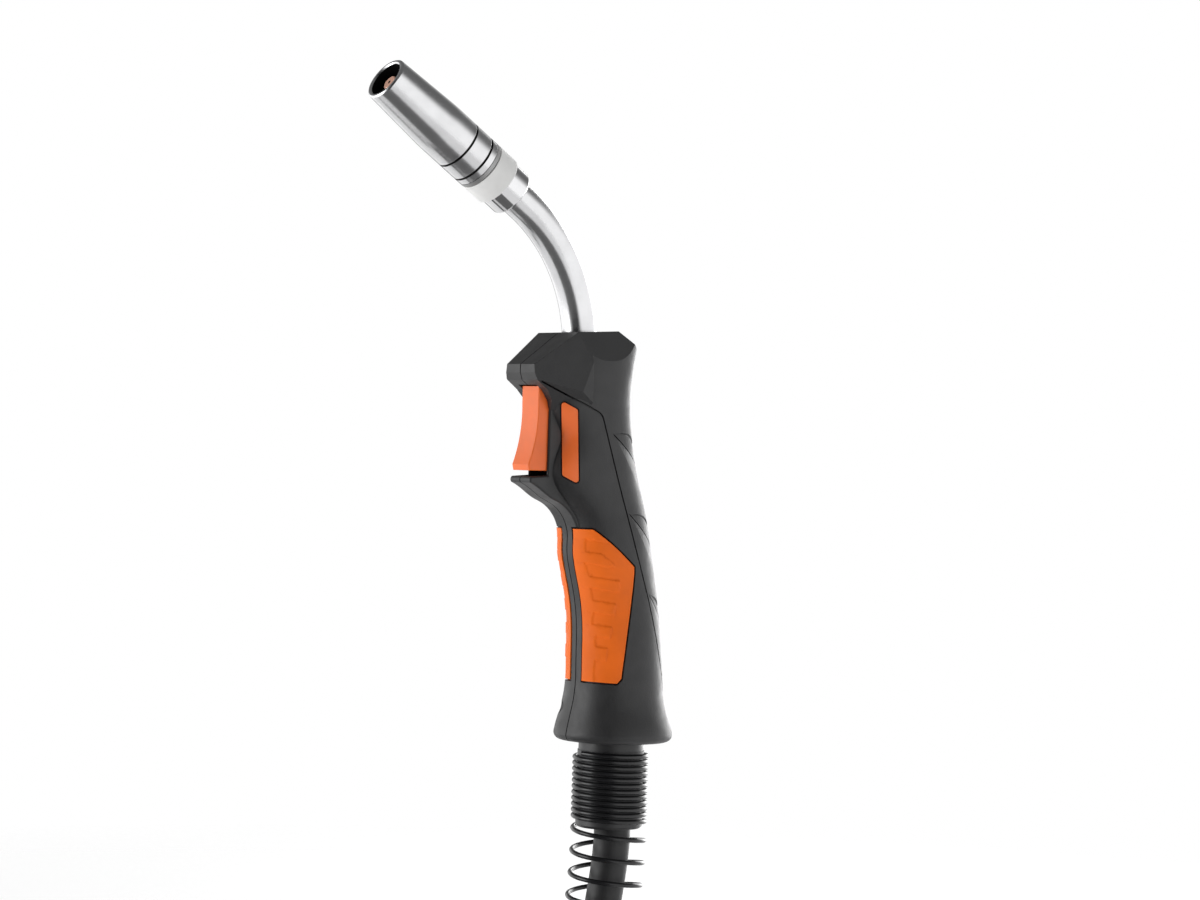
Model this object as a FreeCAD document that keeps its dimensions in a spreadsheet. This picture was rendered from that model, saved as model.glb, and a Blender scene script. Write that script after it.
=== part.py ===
import FreeCAD, Part
import math
import os

import Sketcher
from FreeCAD import Placement, Rotation, Vector

# A gas-cooled MIG welding torch, held upright by its grip.
# Z runs up the grip, -X is forward, on the trigger's side, and -Y is the user's left.
# The origin is in the middle of the palm, on the line that the cable leaves along.

document = FreeCAD.newDocument("mig_torch")

# Driving sizes in millimetres and degrees, one spreadsheet cell each

SIZES = {
    # gas nozzle, from the mouth back
    "nozzle_length": 57.0,
    "nozzle_mouth_bore": 15.0,
    "nozzle_mouth_chamfer": 0.6,
    "nozzle_mouth_diameter": 19.0,
    "nozzle_diameter": 22.0,
    "nozzle_rear_bore": 17.0,
    "nozzle_taper_length": 31.0,
    "nozzle_throat_length": 24.0,
    "groove_width": 0.9,
    "groove_depth": 0.55,
    "front_groove_from_mouth": 43.0,
    "rear_groove_from_mouth": 52.0,
    # insulator, collar, diffuser and contact tip on the nozzle's line
    "insulator_length": 9.8,
    "insulator_sleeve_length": 15.0,
    "insulator_bore": 13.0,
    "nozzle_fit": 0.05,
    "collar_length": 9.0,
    "collar_diameter": 20.0,
    "collar_chamfer": 0.8,
    "diffuser_diameter": 12.6,
    "diffuser_length": 26.0,
    "diffuser_bore": 5.0,
    "gas_hole_diameter": 2.0,
    "gas_hole_pairs": 3,
    "tip_diameter": 8.0,
    "tip_front_diameter": 6.3,
    "tip_taper_length": 6.0,
    "tip_thread_diameter": 6.0,
    "tip_thread_length": 8.0,
    "wire_bore": 1.3,
    "tip_recess": 2.5,
    "clip_wire": 1.3,
    "clip_opening": 50.0,
    # swan neck
    "neck_exit_x": -23.5,
    "neck_exit_z": 111.2,
    "neck_tilt": 7.0,
    "neck_bend": 50.0,
    "neck_radius": 70.0,
    "neck_rise": 1.0,
    "neck_reach": 6.0,
    "neck_diameter": 14.5,
    "neck_wall": 1.5,
    "neck_in_handle": 50.0,
    "conduit_diameter": 9.0,
    "conduit_wall": 1.5,
    "liner_diameter": 4.0,
    "liner_wall": 0.9,
    "coupling_diameter": 20.0,
    "coupling_length": 28.0,
    "coupling_hex": 17.0,
    "coupling_hex_length": 9.0,
    # handle sections: height, front, back, half width and where it is widest
    "foot_height": -58.7, "foot_front": -24.2, "foot_back": 25.6, "foot_width": 24.7,
    "flare_height": -52.0, "flare_front": -23.2, "flare_back": 24.7, "flare_width": 23.8,
    "throat_height": -44.0, "throat_front": -21.2, "throat_back": 22.0, "throat_width": 21.5,
    "palm_height": -34.0, "palm_front": -19.8, "palm_back": 20.9, "palm_width": 20.2,
    "heel_height": -20.0, "heel_front": -19.9, "heel_back": 19.5, "heel_width": 19.7,
    "grip_height": -4.0, "grip_front": -20.8, "grip_back": 17.6, "grip_width": 19.2,
    "finger_height": 10.0, "finger_front": -24.0, "finger_back": 15.4, "finger_width": 18.7,
    "crook_height": 22.0, "crook_front": -26.4, "crook_back": 12.4, "crook_width": 18.2,
    "web_height": 32.0, "web_front": -27.4, "web_back": 10.0, "web_width": 17.8,
    "guard_height": 43.0, "guard_front": -36.5, "guard_back": 6.8, "guard_width": 17.4,
    "knuckle_height": 58.0, "knuckle_front": -41.0, "knuckle_back": 1.8, "knuckle_width": 17.2,
    "brow_height": 76.0, "brow_front": -41.5, "brow_back": -1.8, "brow_width": 17.2,
    "head_height": 92.0, "head_front": -41.5, "head_back": -1.9, "head_width": 17.3,
    "crown_height": 103.0, "crown_front": -41.5, "crown_back": -0.2, "crown_width": 17.5,
    "top_height": 114.0, "top_front": -41.5, "top_back": -0.6, "top_width": 17.5,
    "foot_edge_radius": 3.0,
    "wall": 2.6,
    # nose over the trigger, its sloping roof and its flanks
    "nose_front": -53.0,
    "nose_half_width": 9.5,
    "roof_low_height": 96.8,
    "roof_high_front": -34.2,
    "roof_high_height": 110.6,
    "roof_half_width": 13.9,
    "roof_back": -13.6,
    "roof_back_height": 111.9,
    "shoulder_front": -28.6,
    "shoulder_height": 98.5,
    "back_bevel_front": -2.6,
    "back_bevel_height": 104.5,
    "nose_under_height": 88.4,
    "nose_under_front": -49.2,
    # rib that frames the trigger, and the finger guard under it
    "rib_half_width": 7.3,
    "rib_front": -42.6,
    "rib_edge_radius": 1.0,
    "guard_tip_front": -51.6,
    "guard_top_height": 51.0,
    "guard_tip_depth": 2.6,
    # line between the front shells and the back covers, in the side view
    "parting_nose_height": 91.2,
    "parting_lip_x": -50.5,
    "parting_corner_x": -23.2,
    "parting_corner_height": 77.3,
    "parting_corner_radius": 5.0,
    "parting_low_x": 16.5,
    "parting_low_height": -38.0,
    "parting_end_height": -50.0,
    "seam_width": 0.5,
    "seam_depth": 0.8,
    # orange grip pads and side plates
    "pad_front_y": 4.0,
    "pad_top_height": 29.8,
    "pad_bend_x": -22.6,
    "pad_back_x": -5.1,
    "pad_back_height": 14.7,
    "pad_back_low_height": 12.3,
    "pad_low_x": -9.6,
    "pad_low_height": -33.6,
    "pad_thickness": 2.0,
    "pad_proud": 0.3,
    "pad_gap": 0.7,
    "plate_turn": 52.5,
    "plate_low_height": 48.3,
    "plate_high_height": 82.4,
    "plate_low_across": -20.2,
    "plate_high_across": -21.5,
    "plate_width": 6.9,
    "plate_slant": 3.5,
    "plate_corner_radius": 1.2,
    "plate_thickness": 1.2,
    "plate_recess": 0.25,
    "plate_gap": 0.5,
    "plate_front_reach": 50.0,
    "plate_back_reach": 24.0,
    # chevron steps along the spine
    "step_depth": 1.3,
    "step_edge": 0.35,
    "step_sink": 0.1,
    # trigger and switch
    "trigger_width": 11.7,
    "slot_side_gap": 0.4,
    "trigger_top_front": -47.6,
    "trigger_top_height": 88.0,
    "trigger_bottom_front": -51.7,
    "trigger_bottom_height": 53.4,
    "trigger_back": -38.6,
    "trigger_curve_start": 81.0,
    "trigger_curve_end": 55.8,
    "trigger_curve_radius": 60.0,
    "trigger_edge_radius": 0.6,
    "trigger_wall": 1.8,
    "pivot_x": -41.5,
    "pivot_height": 84.3,
    "pin_diameter": 3.0,
    "pin_length": 17.0,
    "running_fit": 0.05,
    "switch_long": 12.8,
    "switch_wide": 5.8,
    "switch_deep": 6.5,
    "switch_play": 0.2,
    "switch_front": -35.2,
    "switch_middle_height": 74.3,
    "plunger_out": 1.2,
    "plunger_gap": 0.1,
    "plunger_width": 2.0,
    "plunger_height": 1.6,
    "plunger_in": 3.4,
    "plunger_travel": 1.3,
    "terminal_length": 2.0,
    "lead_diameter": 1.6,
    # housing screws
    "screw_diameter": 3.0,
    "screw_head_diameter": 5.6,
    "screw_head_height": 2.0,
    "screw_sink": 2.3,
    "screw_grip": 4.0,
    "screw_head_gap": 0.2,
    "boss_diameter": 8.6,
    "shell_screw_x": -30.2, "shell_screw_height": 43.0,
    "foot_screw_x": -17.5, "foot_screw_height": -45.5,
    "cover_screw_x": 5.0, "cover_screw_height": 18.0,
    "crown_screw_x": -9.4, "crown_screw_height": 94.0,
    "cavity_low_height": -22.0,
    "cavity_high_height": 99.5,
    # cable support: a ball in the handle's foot with a sleeve and a spring below
    "ball_height": -35.0,
    "ball_diameter": 34.0,
    "ball_fit": 0.05,
    "swivel_angle": 10.0,
    "swivel_room": 0.65,
    "ball_neck_diameter": 23.0,
    "sleeve_diameter": 27.3,
    "sleeve_top_height": -52.0,
    "spring_seat_height": -62.8,
    "spring_seat_diameter": 28.0,
    "sleeve_end_height": -95.0,
    "sleeve_bore": 20.0,
    "gland_bore": 15.5,
    "gland_end_height": -62.0,
    "spring_wire": 2.0,
    "spring_start_angle": 180.0,
    "spring_drift": 0.002,
    "spring_fit": 0.05,
    "spring_pitch": 2.45,
    "spring_tight_turns": 11,
    "spring_open_pitch": 9.35,
    "spring_open_turns": 5,
    # cable, its coil and the floor that the coil lies on
    "cable_diameter": 15.3,
    "cable_gap": 4.0,
    "cable_start_height": -66.0,
    "floor_height": -250.0,
    "coil_pitch": 16.1,
    "coil_radius": 99.8,
    "coil_turns": 5.25,
    "coil_corners": 8,
    "coil_change": 0.25,
    "coil_x": -75.0,
    "tail_length": 92.0,
    # plug at the end of the cable, along its own axis from the cable to the socket
    "boot_length": 34.0,
    "boot_diameter": 21.0,
    "housing_start": 26.0,
    "housing_length": 62.0,
    "housing_diameter": 37.0,
    "housing_neck_diameter": 25.0,
    "housing_wall": 2.4,
    "nut_start": 84.0,
    "nut_length": 31.0,
    "nut_diameter": 45.0,
    "nut_bore": 34.0,
    "nut_flutes": 12,
    "nut_flute_diameter": 5.0,
    "block_start": 40.0,
    "block_length": 62.0,
    "block_diameter": 25.0,
    "block_flange_diameter": 29.0,
    "block_flange_length": 3.0,
    "power_tube_diameter": 12.0,
    "power_tube_length": 21.0,
    "power_tube_bore": 6.0,
    "o_ring_wire": 1.8,
    "liner_nut_length": 5.0,
    "contact_pin_diameter": 3.0,
    "contact_pin_length": 22.0,
    "contact_pin_out": 9.0,
    "contact_pin_offset": 9.2,
    "contact_pin_travel": 4.0,
}

sheet = document.addObject("Spreadsheet::Sheet", "size")
for row, (alias, value) in enumerate(SIZES.items(), start=1):
    sheet.set(f"A{row}", alias)
    sheet.set(f"B{row}", str(value))
    sheet.setAlias(f"B{row}", alias)
document.recompute()


def size(alias):
    return float(getattr(sheet, alias))


def value_of(expression):
    return float(sheet.evalExpression(expression))


# Sketches whose every corner is bound to the sheet


def origin_plane(body, role):
    return next(part for part in body.Origin.OriginFeatures if part.Role == role)


def arc_between(start, end, radius, side):
    """The arc from start to end; side is 1 if it bulges to the left of the way from start to end."""
    chord = end - start
    left = Vector(-chord.y, chord.x, 0) / chord.Length
    drop = math.sqrt(radius * radius - chord.Length * chord.Length / 4)
    centre = (start + end) / 2 - left * side * drop
    middle = centre + left * side * radius
    return Part.Arc(start, middle, end) if side < 0 else Part.Arc(end, middle, start)


def bound_sketch(body, name, role, corners, closed=True, height="0"):
    """A sketch through corners (x, y) or (x, y, radius, side), where the edge after the corner is an arc."""
    sketch = body.newObject("Sketcher::SketchObject", name)
    sketch.AttachmentSupport = (origin_plane(body, role), "")
    sketch.MapMode = "FlatFace"
    if height != "0":
        sketch.setExpression("AttachmentOffset.Base.z", height)
    places = [Vector(value_of(corner[0]), value_of(corner[1]), 0) for corner in corners]
    count = len(corners)
    ends = []
    for index in range(count if closed else count - 1):
        start, end = places[index], places[(index + 1) % count]
        if len(corners[index]) == 2:
            ends.append((sketch.addGeometry(Part.LineSegment(start, end), False), 1, 2))
            continue
        arc = arc_between(start, end, value_of(corners[index][2]), corners[index][3])
        geometry = sketch.addGeometry(arc, False)
        drawn = sketch.Geometry[geometry]
        forward = (drawn.StartPoint - start).Length < (drawn.EndPoint - start).Length
        ends.append((geometry, 1, 2) if forward else (geometry, 2, 1))
        radius = sketch.addConstraint(Sketcher.Constraint("Radius", geometry, drawn.Radius))
        sketch.setExpression(f"Constraints[{radius}]", corners[index][2])
    for index in range(len(ends) if closed else len(ends) - 1):
        here, after = ends[index], ends[(index + 1) % len(ends)]
        sketch.addConstraint(Sketcher.Constraint("Coincident", here[0], here[2], after[0], after[1]))
    for index, corner in enumerate(corners):
        geometry, point = ends[index][:2] if index < len(ends) else (ends[-1][0], ends[-1][2])
        for kind, expression, number in (
            ("DistanceX", corner[0], places[index].x),
            ("DistanceY", corner[1], places[index].y),
        ):
            bound = sketch.addConstraint(Sketcher.Constraint(kind, -1, 1, geometry, point, number))
            sketch.setExpression(f"Constraints[{bound}]", expression)
    return sketch


def circle_sketch(body, name, role, circles, height="0"):
    """A sketch of circles, each (centre x, centre y, diameter)."""
    sketch = body.newObject("Sketcher::SketchObject", name)
    sketch.AttachmentSupport = (origin_plane(body, role), "")
    sketch.MapMode = "FlatFace"
    if height != "0":
        sketch.setExpression("AttachmentOffset.Base.z", height)
    for across, up, diameter in circles:
        centre = Vector(value_of(across), value_of(up), 0)
        drawn = Part.Circle(centre, Vector(0, 0, 1), value_of(diameter) / 2)
        geometry = sketch.addGeometry(drawn, False)
        bound = sketch.addConstraint(Sketcher.Constraint("Diameter", geometry, value_of(diameter)))
        sketch.setExpression(f"Constraints[{bound}]", diameter)
        for kind, expression, number in (("DistanceX", across, centre.x), ("DistanceY", up, centre.y)):
            bound = sketch.addConstraint(Sketcher.Constraint(kind, -1, 1, geometry, 3, number))
            sketch.setExpression(f"Constraints[{bound}]", expression)
    return sketch


def new_body(label):
    body = document.addObject("PartDesign::Body", label)
    body.Label = label
    return body


def turned(label, corners):
    """A body turned about its own Z from corners (radius, height)."""
    body = new_body(label)
    sketch = bound_sketch(body, label + "_profile", "XZ_Plane", corners)
    feature = body.newObject("PartDesign::Revolution", label + "_turned")
    feature.Profile = sketch
    feature.ReferenceAxis = (sketch, ["V_Axis"])
    feature.Angle = 360
    return body


def cut_through(body, sketch, name):
    pocket = body.newObject("PartDesign::Pocket", name)
    pocket.Profile = sketch
    pocket.Type = "ThroughAll"
    pocket.Midplane = True
    return pocket


def patterned(body, feature, role, count, angle, name):
    pattern = body.newObject("PartDesign::PolarPattern", name)
    pattern.Originals = [feature]
    pattern.Axis = (origin_plane(body, role), [""])
    pattern.Angle = angle
    pattern.Occurrences = count
    body.Tip = pattern
    return pattern


def solid_feature(label, shape, placement=None):
    feature = document.addObject("Part::Feature", label)
    feature.Label = label
    feature.Shape = shape
    feature.Placement = placement or Placement()
    return feature


# Lines of the neck and the nozzle, in the plane of symmetry

TURN = math.radians(size("neck_tilt") + size("neck_bend"))
neck_exit = Vector(size("neck_exit_x"), 0, size("neck_exit_z"))
neck_place = Placement(neck_exit, Rotation(Vector(0, 1, 0), -size("neck_tilt")))
bend_end_local = Vector(
    -size("neck_radius") * (1 - math.cos(math.radians(size("neck_bend")))),
    0,
    size("neck_rise") + size("neck_radius") * math.sin(math.radians(size("neck_bend"))),
)
bend_end = neck_place.multVec(bend_end_local)
nozzle_direction = Vector(-math.sin(TURN), 0, math.cos(TURN))
nozzle_rotation = Rotation(Vector(0, 1, 0), -math.degrees(TURN))


def on_nozzle_line(distance):
    """The placement of a turned piece whose own origin is this far along the nozzle's line from the bend."""
    return Placement(bend_end + nozzle_direction * distance, nozzle_rotation)


collar_start = size("neck_reach")
insulator_start = collar_start + size("collar_length")
nozzle_start = insulator_start + size("insulator_length")
nozzle_mouth = nozzle_start + size("nozzle_length")


def gas_nozzle():
    length = "size.nozzle_length"
    mouth = "size.nozzle_mouth_diameter / 2"
    bore = "size.nozzle_mouth_bore / 2"
    outer = "size.nozzle_diameter / 2"
    taper = length + " - size.nozzle_taper_length"
    lip = length + " - size.nozzle_mouth_chamfer"
    corners = [
        ("size.nozzle_rear_bore / 2", "0"),
        (outer + " - size.groove_depth", "0"),
        (outer, "size.groove_depth"),
    ]
    for groove in ("size.rear_groove_from_mouth", "size.front_groove_from_mouth"):
        low = f"{length} - {groove}"
        high = f"{low} + size.groove_width"
        floor = outer + " - size.groove_depth"
        corners += [(outer, low), (floor, low), (floor, high), (outer, high)]
    corners += [
        (outer, taper),
        (mouth, lip),
        (mouth + " - size.nozzle_mouth_chamfer", length),
        (bore + " + size.nozzle_mouth_chamfer", length),
        (bore, lip),
        (bore, length + " - size.nozzle_throat_length"),
        ("size.nozzle_rear_bore / 2", length + " - size.nozzle_throat_length - 4"),
    ]
    body = turned("gas_nozzle", corners)
    body.Placement = on_nozzle_line(nozzle_start)


def insulator_ring():
    sleeve = "size.nozzle_rear_bore / 2 - size.nozzle_fit"
    end = "size.insulator_length + size.insulator_sleeve_length"
    groove = "size.insulator_length + size.insulator_sleeve_length / 2"
    body = turned("insulator_ring", [
        ("size.neck_diameter / 2", "0"),
        ("size.nozzle_diameter / 2 - 0.5", "0"),
        ("size.nozzle_diameter / 2", "0.5"),
        ("size.nozzle_diameter / 2", "size.insulator_length - 0.3"),
        ("size.nozzle_diameter / 2 - 0.3", "size.insulator_length"),
        (sleeve, "size.insulator_length"),
        (sleeve, groove + " - size.clip_wire / 2"),
        (sleeve + " - size.clip_wire", groove + " - size.clip_wire / 2"),
        (sleeve + " - size.clip_wire", groove + " + size.clip_wire / 2"),
        (sleeve, groove + " + size.clip_wire / 2"),
        (sleeve, end + " - 0.8"),
        (sleeve + " - 0.8", end),
        ("size.insulator_bore / 2", end),
        ("size.insulator_bore / 2", "size.insulator_length"),
        ("size.neck_diameter / 2", "size.insulator_length"),
    ])
    body.Placement = on_nozzle_line(insulator_start)


def neck_collar():
    body = turned("neck_collar", [
        ("size.neck_diameter / 2", "0"),
        ("size.collar_diameter / 2 - size.collar_chamfer", "0"),
        ("size.collar_diameter / 2", "size.collar_chamfer"),
        ("size.collar_diameter / 2", "size.collar_length"),
        ("size.neck_diameter / 2", "size.collar_length"),
    ])
    body.Placement = on_nozzle_line(collar_start)


def gas_diffuser():
    length = "size.diffuser_length"
    body = turned("gas_diffuser", [
        ("size.diffuser_bore / 2", "0"),
        ("size.diffuser_diameter / 2", "0"),
        ("size.diffuser_diameter / 2", length + " - 5"),
        ("size.diffuser_diameter / 2 - 1.6", length + " - 3"),
        ("size.diffuser_diameter / 2 - 1.6", length),
        ("size.tip_thread_diameter / 2", length),
        ("size.tip_thread_diameter / 2", length + " - size.tip_thread_length"),
        ("size.diffuser_bore / 2", length + " - size.tip_thread_length"),
    ])
    sketch = circle_sketch(body, "gas_hole", "XZ_Plane", [("0", length + " - 12", "size.gas_hole_diameter")])
    hole = cut_through(body, sketch, "gas_holes")
    pairs = int(size("gas_hole_pairs"))
    patterned(body, hole, "Z_Axis", pairs, 180 * (pairs - 1) / pairs, "gas_hole_ring")
    body.Placement = on_nozzle_line(nozzle_start)


def contact_tip():
    front = "size.nozzle_length - size.tip_recess - size.diffuser_length"
    body = turned("contact_tip", [
        ("size.wire_bore / 2", "-size.tip_thread_length"),
        ("size.tip_thread_diameter / 2", "-size.tip_thread_length"),
        ("size.tip_thread_diameter / 2", "0"),
        ("size.tip_diameter / 2", "0"),
        ("size.tip_diameter / 2", front + " - size.tip_taper_length"),
        ("size.tip_front_diameter / 2", front + " - 0.4"),
        ("size.tip_front_diameter / 2 - 0.4", front),
        ("size.wire_bore / 2", front),
    ])
    body.Placement = on_nozzle_line(nozzle_start + size("diffuser_length"))


def nozzle_spring():
    """The open ring of spring wire that grips the nozzle, in its groove of the insulator."""
    wire = size("clip_wire")
    radius = size("nozzle_rear_bore") / 2 - size("nozzle_fit") - wire / 2
    opening = math.radians(size("clip_opening"))
    start, middle, end = (
        Vector(radius * math.cos(angle), radius * math.sin(angle), 0)
        for angle in (opening / 2, math.pi, 2 * math.pi - opening / 2)
    )
    path = Part.Wire(Part.Arc(start, middle, end).toShape())
    along = Vector(-math.sin(opening / 2), math.cos(opening / 2), 0)
    section = Part.Wire(Part.Circle(start, along, wire / 2).toShape())
    shape = path.makePipeShell([section], True, False)
    groove = size("insulator_length") + size("insulator_sleeve_length") / 2
    solid_feature("nozzle_spring", shape, on_nozzle_line(insulator_start + groove))


def neck_tube(label, outer, inner, depth, reach):
    """A tube along the neck's line, from depth below the handle's top to reach past the bend."""
    body = new_body(label)
    bend = "size.neck_bend"
    across = f"-size.neck_radius * (1 - cos({bend}))"
    up = f"size.neck_rise + size.neck_radius * sin({bend})"
    path = bound_sketch(body, label + "_line", "XZ_Plane", [
        ("0", f"-({depth})"),
        ("0", "size.neck_rise", "size.neck_radius", -1),
        (across, up),
        (f"{across} - ({reach}) * sin({bend})", f"{up} + ({reach}) * cos({bend})"),
    ], closed=False)
    section = circle_sketch(body, label + "_section", "XY_Plane",
                            [("0", "0", outer), ("0", "0", inner)], height=f"-({depth})")
    pipe = body.newObject("PartDesign::AdditivePipe", label + "_pipe")
    pipe.Profile = section
    pipe.Spine = path
    body.Placement = neck_place


def neck_parts():
    wall = "size.neck_diameter - 2 * size.neck_wall"
    neck_tube("swan_neck", "size.neck_diameter", wall, "size.neck_in_handle",
              "size.neck_reach + size.collar_length + size.insulator_length")
    neck_tube("inner_conduit", "size.conduit_diameter", "size.conduit_diameter - 2 * size.conduit_wall",
              "size.neck_in_handle + size.coupling_length / 2",
              "size.neck_reach + size.collar_length + size.insulator_length")
    neck_tube("wire_liner", "size.liner_diameter", "size.liner_diameter - 2 * size.liner_wall",
              "size.neck_in_handle + size.coupling_length",
              "size.neck_reach + size.collar_length + size.insulator_length + size.diffuser_length"
              " - size.tip_thread_length")


def neck_coupling():
    """The brass union that takes the neck above and the cable below, with a hexagon at its foot."""
    body = turned("neck_coupling", [
        ("size.liner_diameter / 2", "0"),
        ("size.coupling_diameter / 2 - 1", "0"),
        ("size.coupling_diameter / 2", "1"),
        ("size.coupling_diameter / 2", "size.coupling_length - 1"),
        ("size.coupling_diameter / 2 - 1", "size.coupling_length"),
        ("size.conduit_diameter / 2", "size.coupling_length"),
        ("size.conduit_diameter / 2", "size.coupling_length / 2"),
        ("size.liner_diameter / 2", "size.coupling_length / 2"),
    ])
    side = "size.coupling_diameter / 2"
    flat = bound_sketch(body, "hexagon_flat", "XY_Plane", [
        ("size.coupling_hex / 2", "-" + side),
        ("size.coupling_diameter", "-" + side),
        ("size.coupling_diameter", side),
        ("size.coupling_hex / 2", side),
    ])
    pocket = body.newObject("PartDesign::Pocket", "hexagon_side")
    pocket.Profile = flat
    pocket.Reversed = True
    pocket.setExpression("Length", "size.coupling_hex_length")
    patterned(body, pocket, "Z_Axis", 6, 300, "hexagon")
    depth = size("neck_in_handle") + size("coupling_length")
    body.Placement = neck_place.multiply(Placement(Vector(0, 0, -depth), Rotation()))


# The handle's form: smooth sections from its foot to its crown

STATIONS = (
    "foot", "flare", "throat", "palm", "heel", "grip", "finger", "crook",
    "web", "guard", "knuckle", "brow", "head", "crown", "top",
)
SECTION_POINTS = 20


def section_wire(station, inset):
    """One closed smooth section: round below, and squarer towards the top."""
    height, front, back, half = (
        size(f"{station}_{word}") for word in ("height", "front", "back", "width")
    )
    rise = max(0.0, min(1.0, (height - size("finger_height")) / 70))
    widest = (front + back) / 2 * (1 - rise) + (back - size("roof_half_width") - 5) * rise
    back_power, front_power = 2 / (2 + 0.9 * rise), 2 / (2.1 + 0.4 * rise)
    points = []
    for index in range(SECTION_POINTS):
        angle = 2 * math.pi * index / SECTION_POINTS
        along, across = math.cos(angle), math.sin(angle)
        power = back_power if along > 0 else front_power
        reach = back - widest if along > 0 else widest - front
        points.append(Vector(
            widest + (reach - inset) * math.copysign(abs(along) ** power, along),
            (half - inset) * math.copysign(abs(across) ** power, across),
            height,
        ))
    curve = Part.BSplineCurve()
    curve.interpolate(Points=points, PeriodicFlag=True)
    return Part.Wire(curve.toShape())


def trunk(inset=0.0):
    """The handle's smooth body, drawn in by inset on all sides."""
    return Part.makeLoft([section_wire(station, inset) for station in STATIONS], True, False)


def half_space(point, outward):
    """A block that covers everything on the outward side of a plane."""
    block = Part.makeBox(300, 300, 300, Vector(-150, -150, 0))
    block.Placement = Placement(point, Rotation(Vector(0, 0, 1), outward))
    return block


def plane_through(first, second, third, outside):
    """The half space beyond the plane of three points, on the side where outside lies."""
    normal = (second - first).cross(third - first).normalize()
    if normal.dot(outside - first) < 0:
        normal = normal * -1
    return half_space(first, normal)


def side_outline(points, half_width, low_y=None):
    """A prism across the handle over a closed outline of (x, z) points in the side view."""
    corners = [Vector(x, -half_width if low_y is None else low_y, z) for x, z in points]
    face = Part.Face(Part.makePolygon(corners + corners[:1]))
    high_y = half_width
    return face.extrude(Vector(0, high_y - corners[0].y, 0))


def mirrored(shape):
    return shape.mirror(Vector(), Vector(0, 1, 0))


def head_planes():
    """The flat facets of the head: top, sloping roof, flanks, shoulder bevels and back bevel."""
    ridge_front = Vector(size("roof_high_front"), 0, size("roof_high_height"))
    ridge_back = Vector(size("roof_back"), 0, size("roof_back_height"))
    ridge_side = ridge_front + Vector(0, 5, 0)
    above = Vector(-30, 0, 200)
    nose = Vector(size("nose_front"), 0, size("roof_low_height"))
    planes = [
        plane_through(ridge_front, ridge_back, ridge_side, above),
        plane_through(nose, ridge_front, nose + Vector(0, 5, 0), above),
        plane_through(
            ridge_back,
            Vector(size("back_bevel_front"), 0, size("back_bevel_height")),
            ridge_back + Vector(0, 5, 0),
            above,
        ),
    ]
    for side in (-1, 1):
        tip = Vector(size("nose_front"), side * size("nose_half_width"), size("roof_low_height"))
        corner = Vector(size("roof_high_front"), side * size("roof_half_width"), size("roof_high_height"))
        rear = Vector(size("roof_back"), side * size("roof_half_width"), size("roof_back_height"))
        shoulder = Vector(size("shoulder_front"), side * size("top_width"), size("shoulder_height"))
        outside = Vector(-40, side * 200, 100)
        planes += [
            plane_through(tip, corner, shoulder, outside),
            plane_through(corner, rear, shoulder, outside),
        ]
    return planes


def nose():
    """The nose that overhangs the trigger, undercut below the parting line so that it runs into the rib."""
    front = size("nose_front")
    under = size("nose_under_height")
    outline = [
        (front, under + 5),
        (front, size("roof_low_height") + 8),
        (size("shoulder_front"), size("top_height")),
        (size("shoulder_front"), under - 10),
        (size("rib_front"), under - 10),
        (size("rib_front") - 1, under - 6),
        (size("nose_under_front") + 2.5, under - 1.8),
        (size("nose_under_front"), under),
        (front + 1, under + 2),
    ]
    shape = side_outline(outline, size("top_width"))
    for side in (-1, 1):
        tip = Vector(front, side * (size("nose_half_width") + 0.9), size("parting_nose_height"))
        rear = Vector(-26.6, side * size("brow_width"), 80.0)
        low = Vector(-43.5, side * (size("rib_half_width") + 0.6), 80.0)
        shape = shape.cut(plane_through(tip, rear, low, Vector(-40, side * 200, 60)))
    return shape


def rib_and_guard():
    """The narrow rib that frames the trigger and the finger guard below it, as one bar with round edges."""
    front = size("rib_front")
    top = size("guard_top_height")
    tip = size("guard_tip_front")
    low = top - size("guard_tip_depth")
    upper = [
        Vector(-30, 0, size("nose_under_height")),
        Vector(front, 0, size("nose_under_height")),
        Vector(front, 0, top + 0.6),
        Vector(tip + 0.8, 0, top),
    ]
    under = Part.BSplineCurve()
    under.interpolate(Points=[
        Vector(tip + 0.6, 0, low),
        Vector(tip + 5.2, 0, low - 2.4),
        Vector(tip + 11.5, 0, low - 6.3),
        Vector(tip + 16.3, 0, low - 8.4),
        Vector(tip + 21.1, 0, low - 12.1),
        Vector(tip + 24.2, 0, low - 17.0),
        Vector(tip + 25.3, 0, low - 23.0),
    ])
    lip = Part.Arc(upper[3], Vector(tip, 0, (top + low) / 2), under.StartPoint)
    back = [under.EndPoint, Vector(-18, 0, under.EndPoint.z), Vector(-18, 0, top), upper[0]]
    edges = [Part.LineSegment(a, b).toShape() for a, b in zip(upper, upper[1:])]
    edges += [lip.toShape(), under.toShape()]
    edges += [Part.LineSegment(a, b).toShape() for a, b in zip(back, back[1:])]
    half = size("rib_half_width")
    face = Part.Face(Part.Wire(edges))
    face.translate(Vector(0, -half, 0))
    bar = face.extrude(Vector(0, 2 * half, 0))
    rounded = [
        edge for edge in bar.Edges
        if abs(abs(edge.CenterOfMass.y) - half) < 0.01 and edge.CenterOfMass.x < front + 14
        and edge.BoundBox.XMin < -20
    ]
    return bar.makeFillet(size("rib_edge_radius"), rounded)


def box_between(low, high):
    low, high = Vector(*low), Vector(*high)
    return Part.makeBox(high.x - low.x, high.y - low.y, high.z - low.z, low)


LEFT = box_between((-90, -60, -80), (70, 0, 140))


def cut_away(shape, tools):
    """The shape less each tool in turn."""
    for tool in tools:
        if shape.BoundBox.intersect(tool.BoundBox):
            shape = shape.cut(tool)
    return shape


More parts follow.
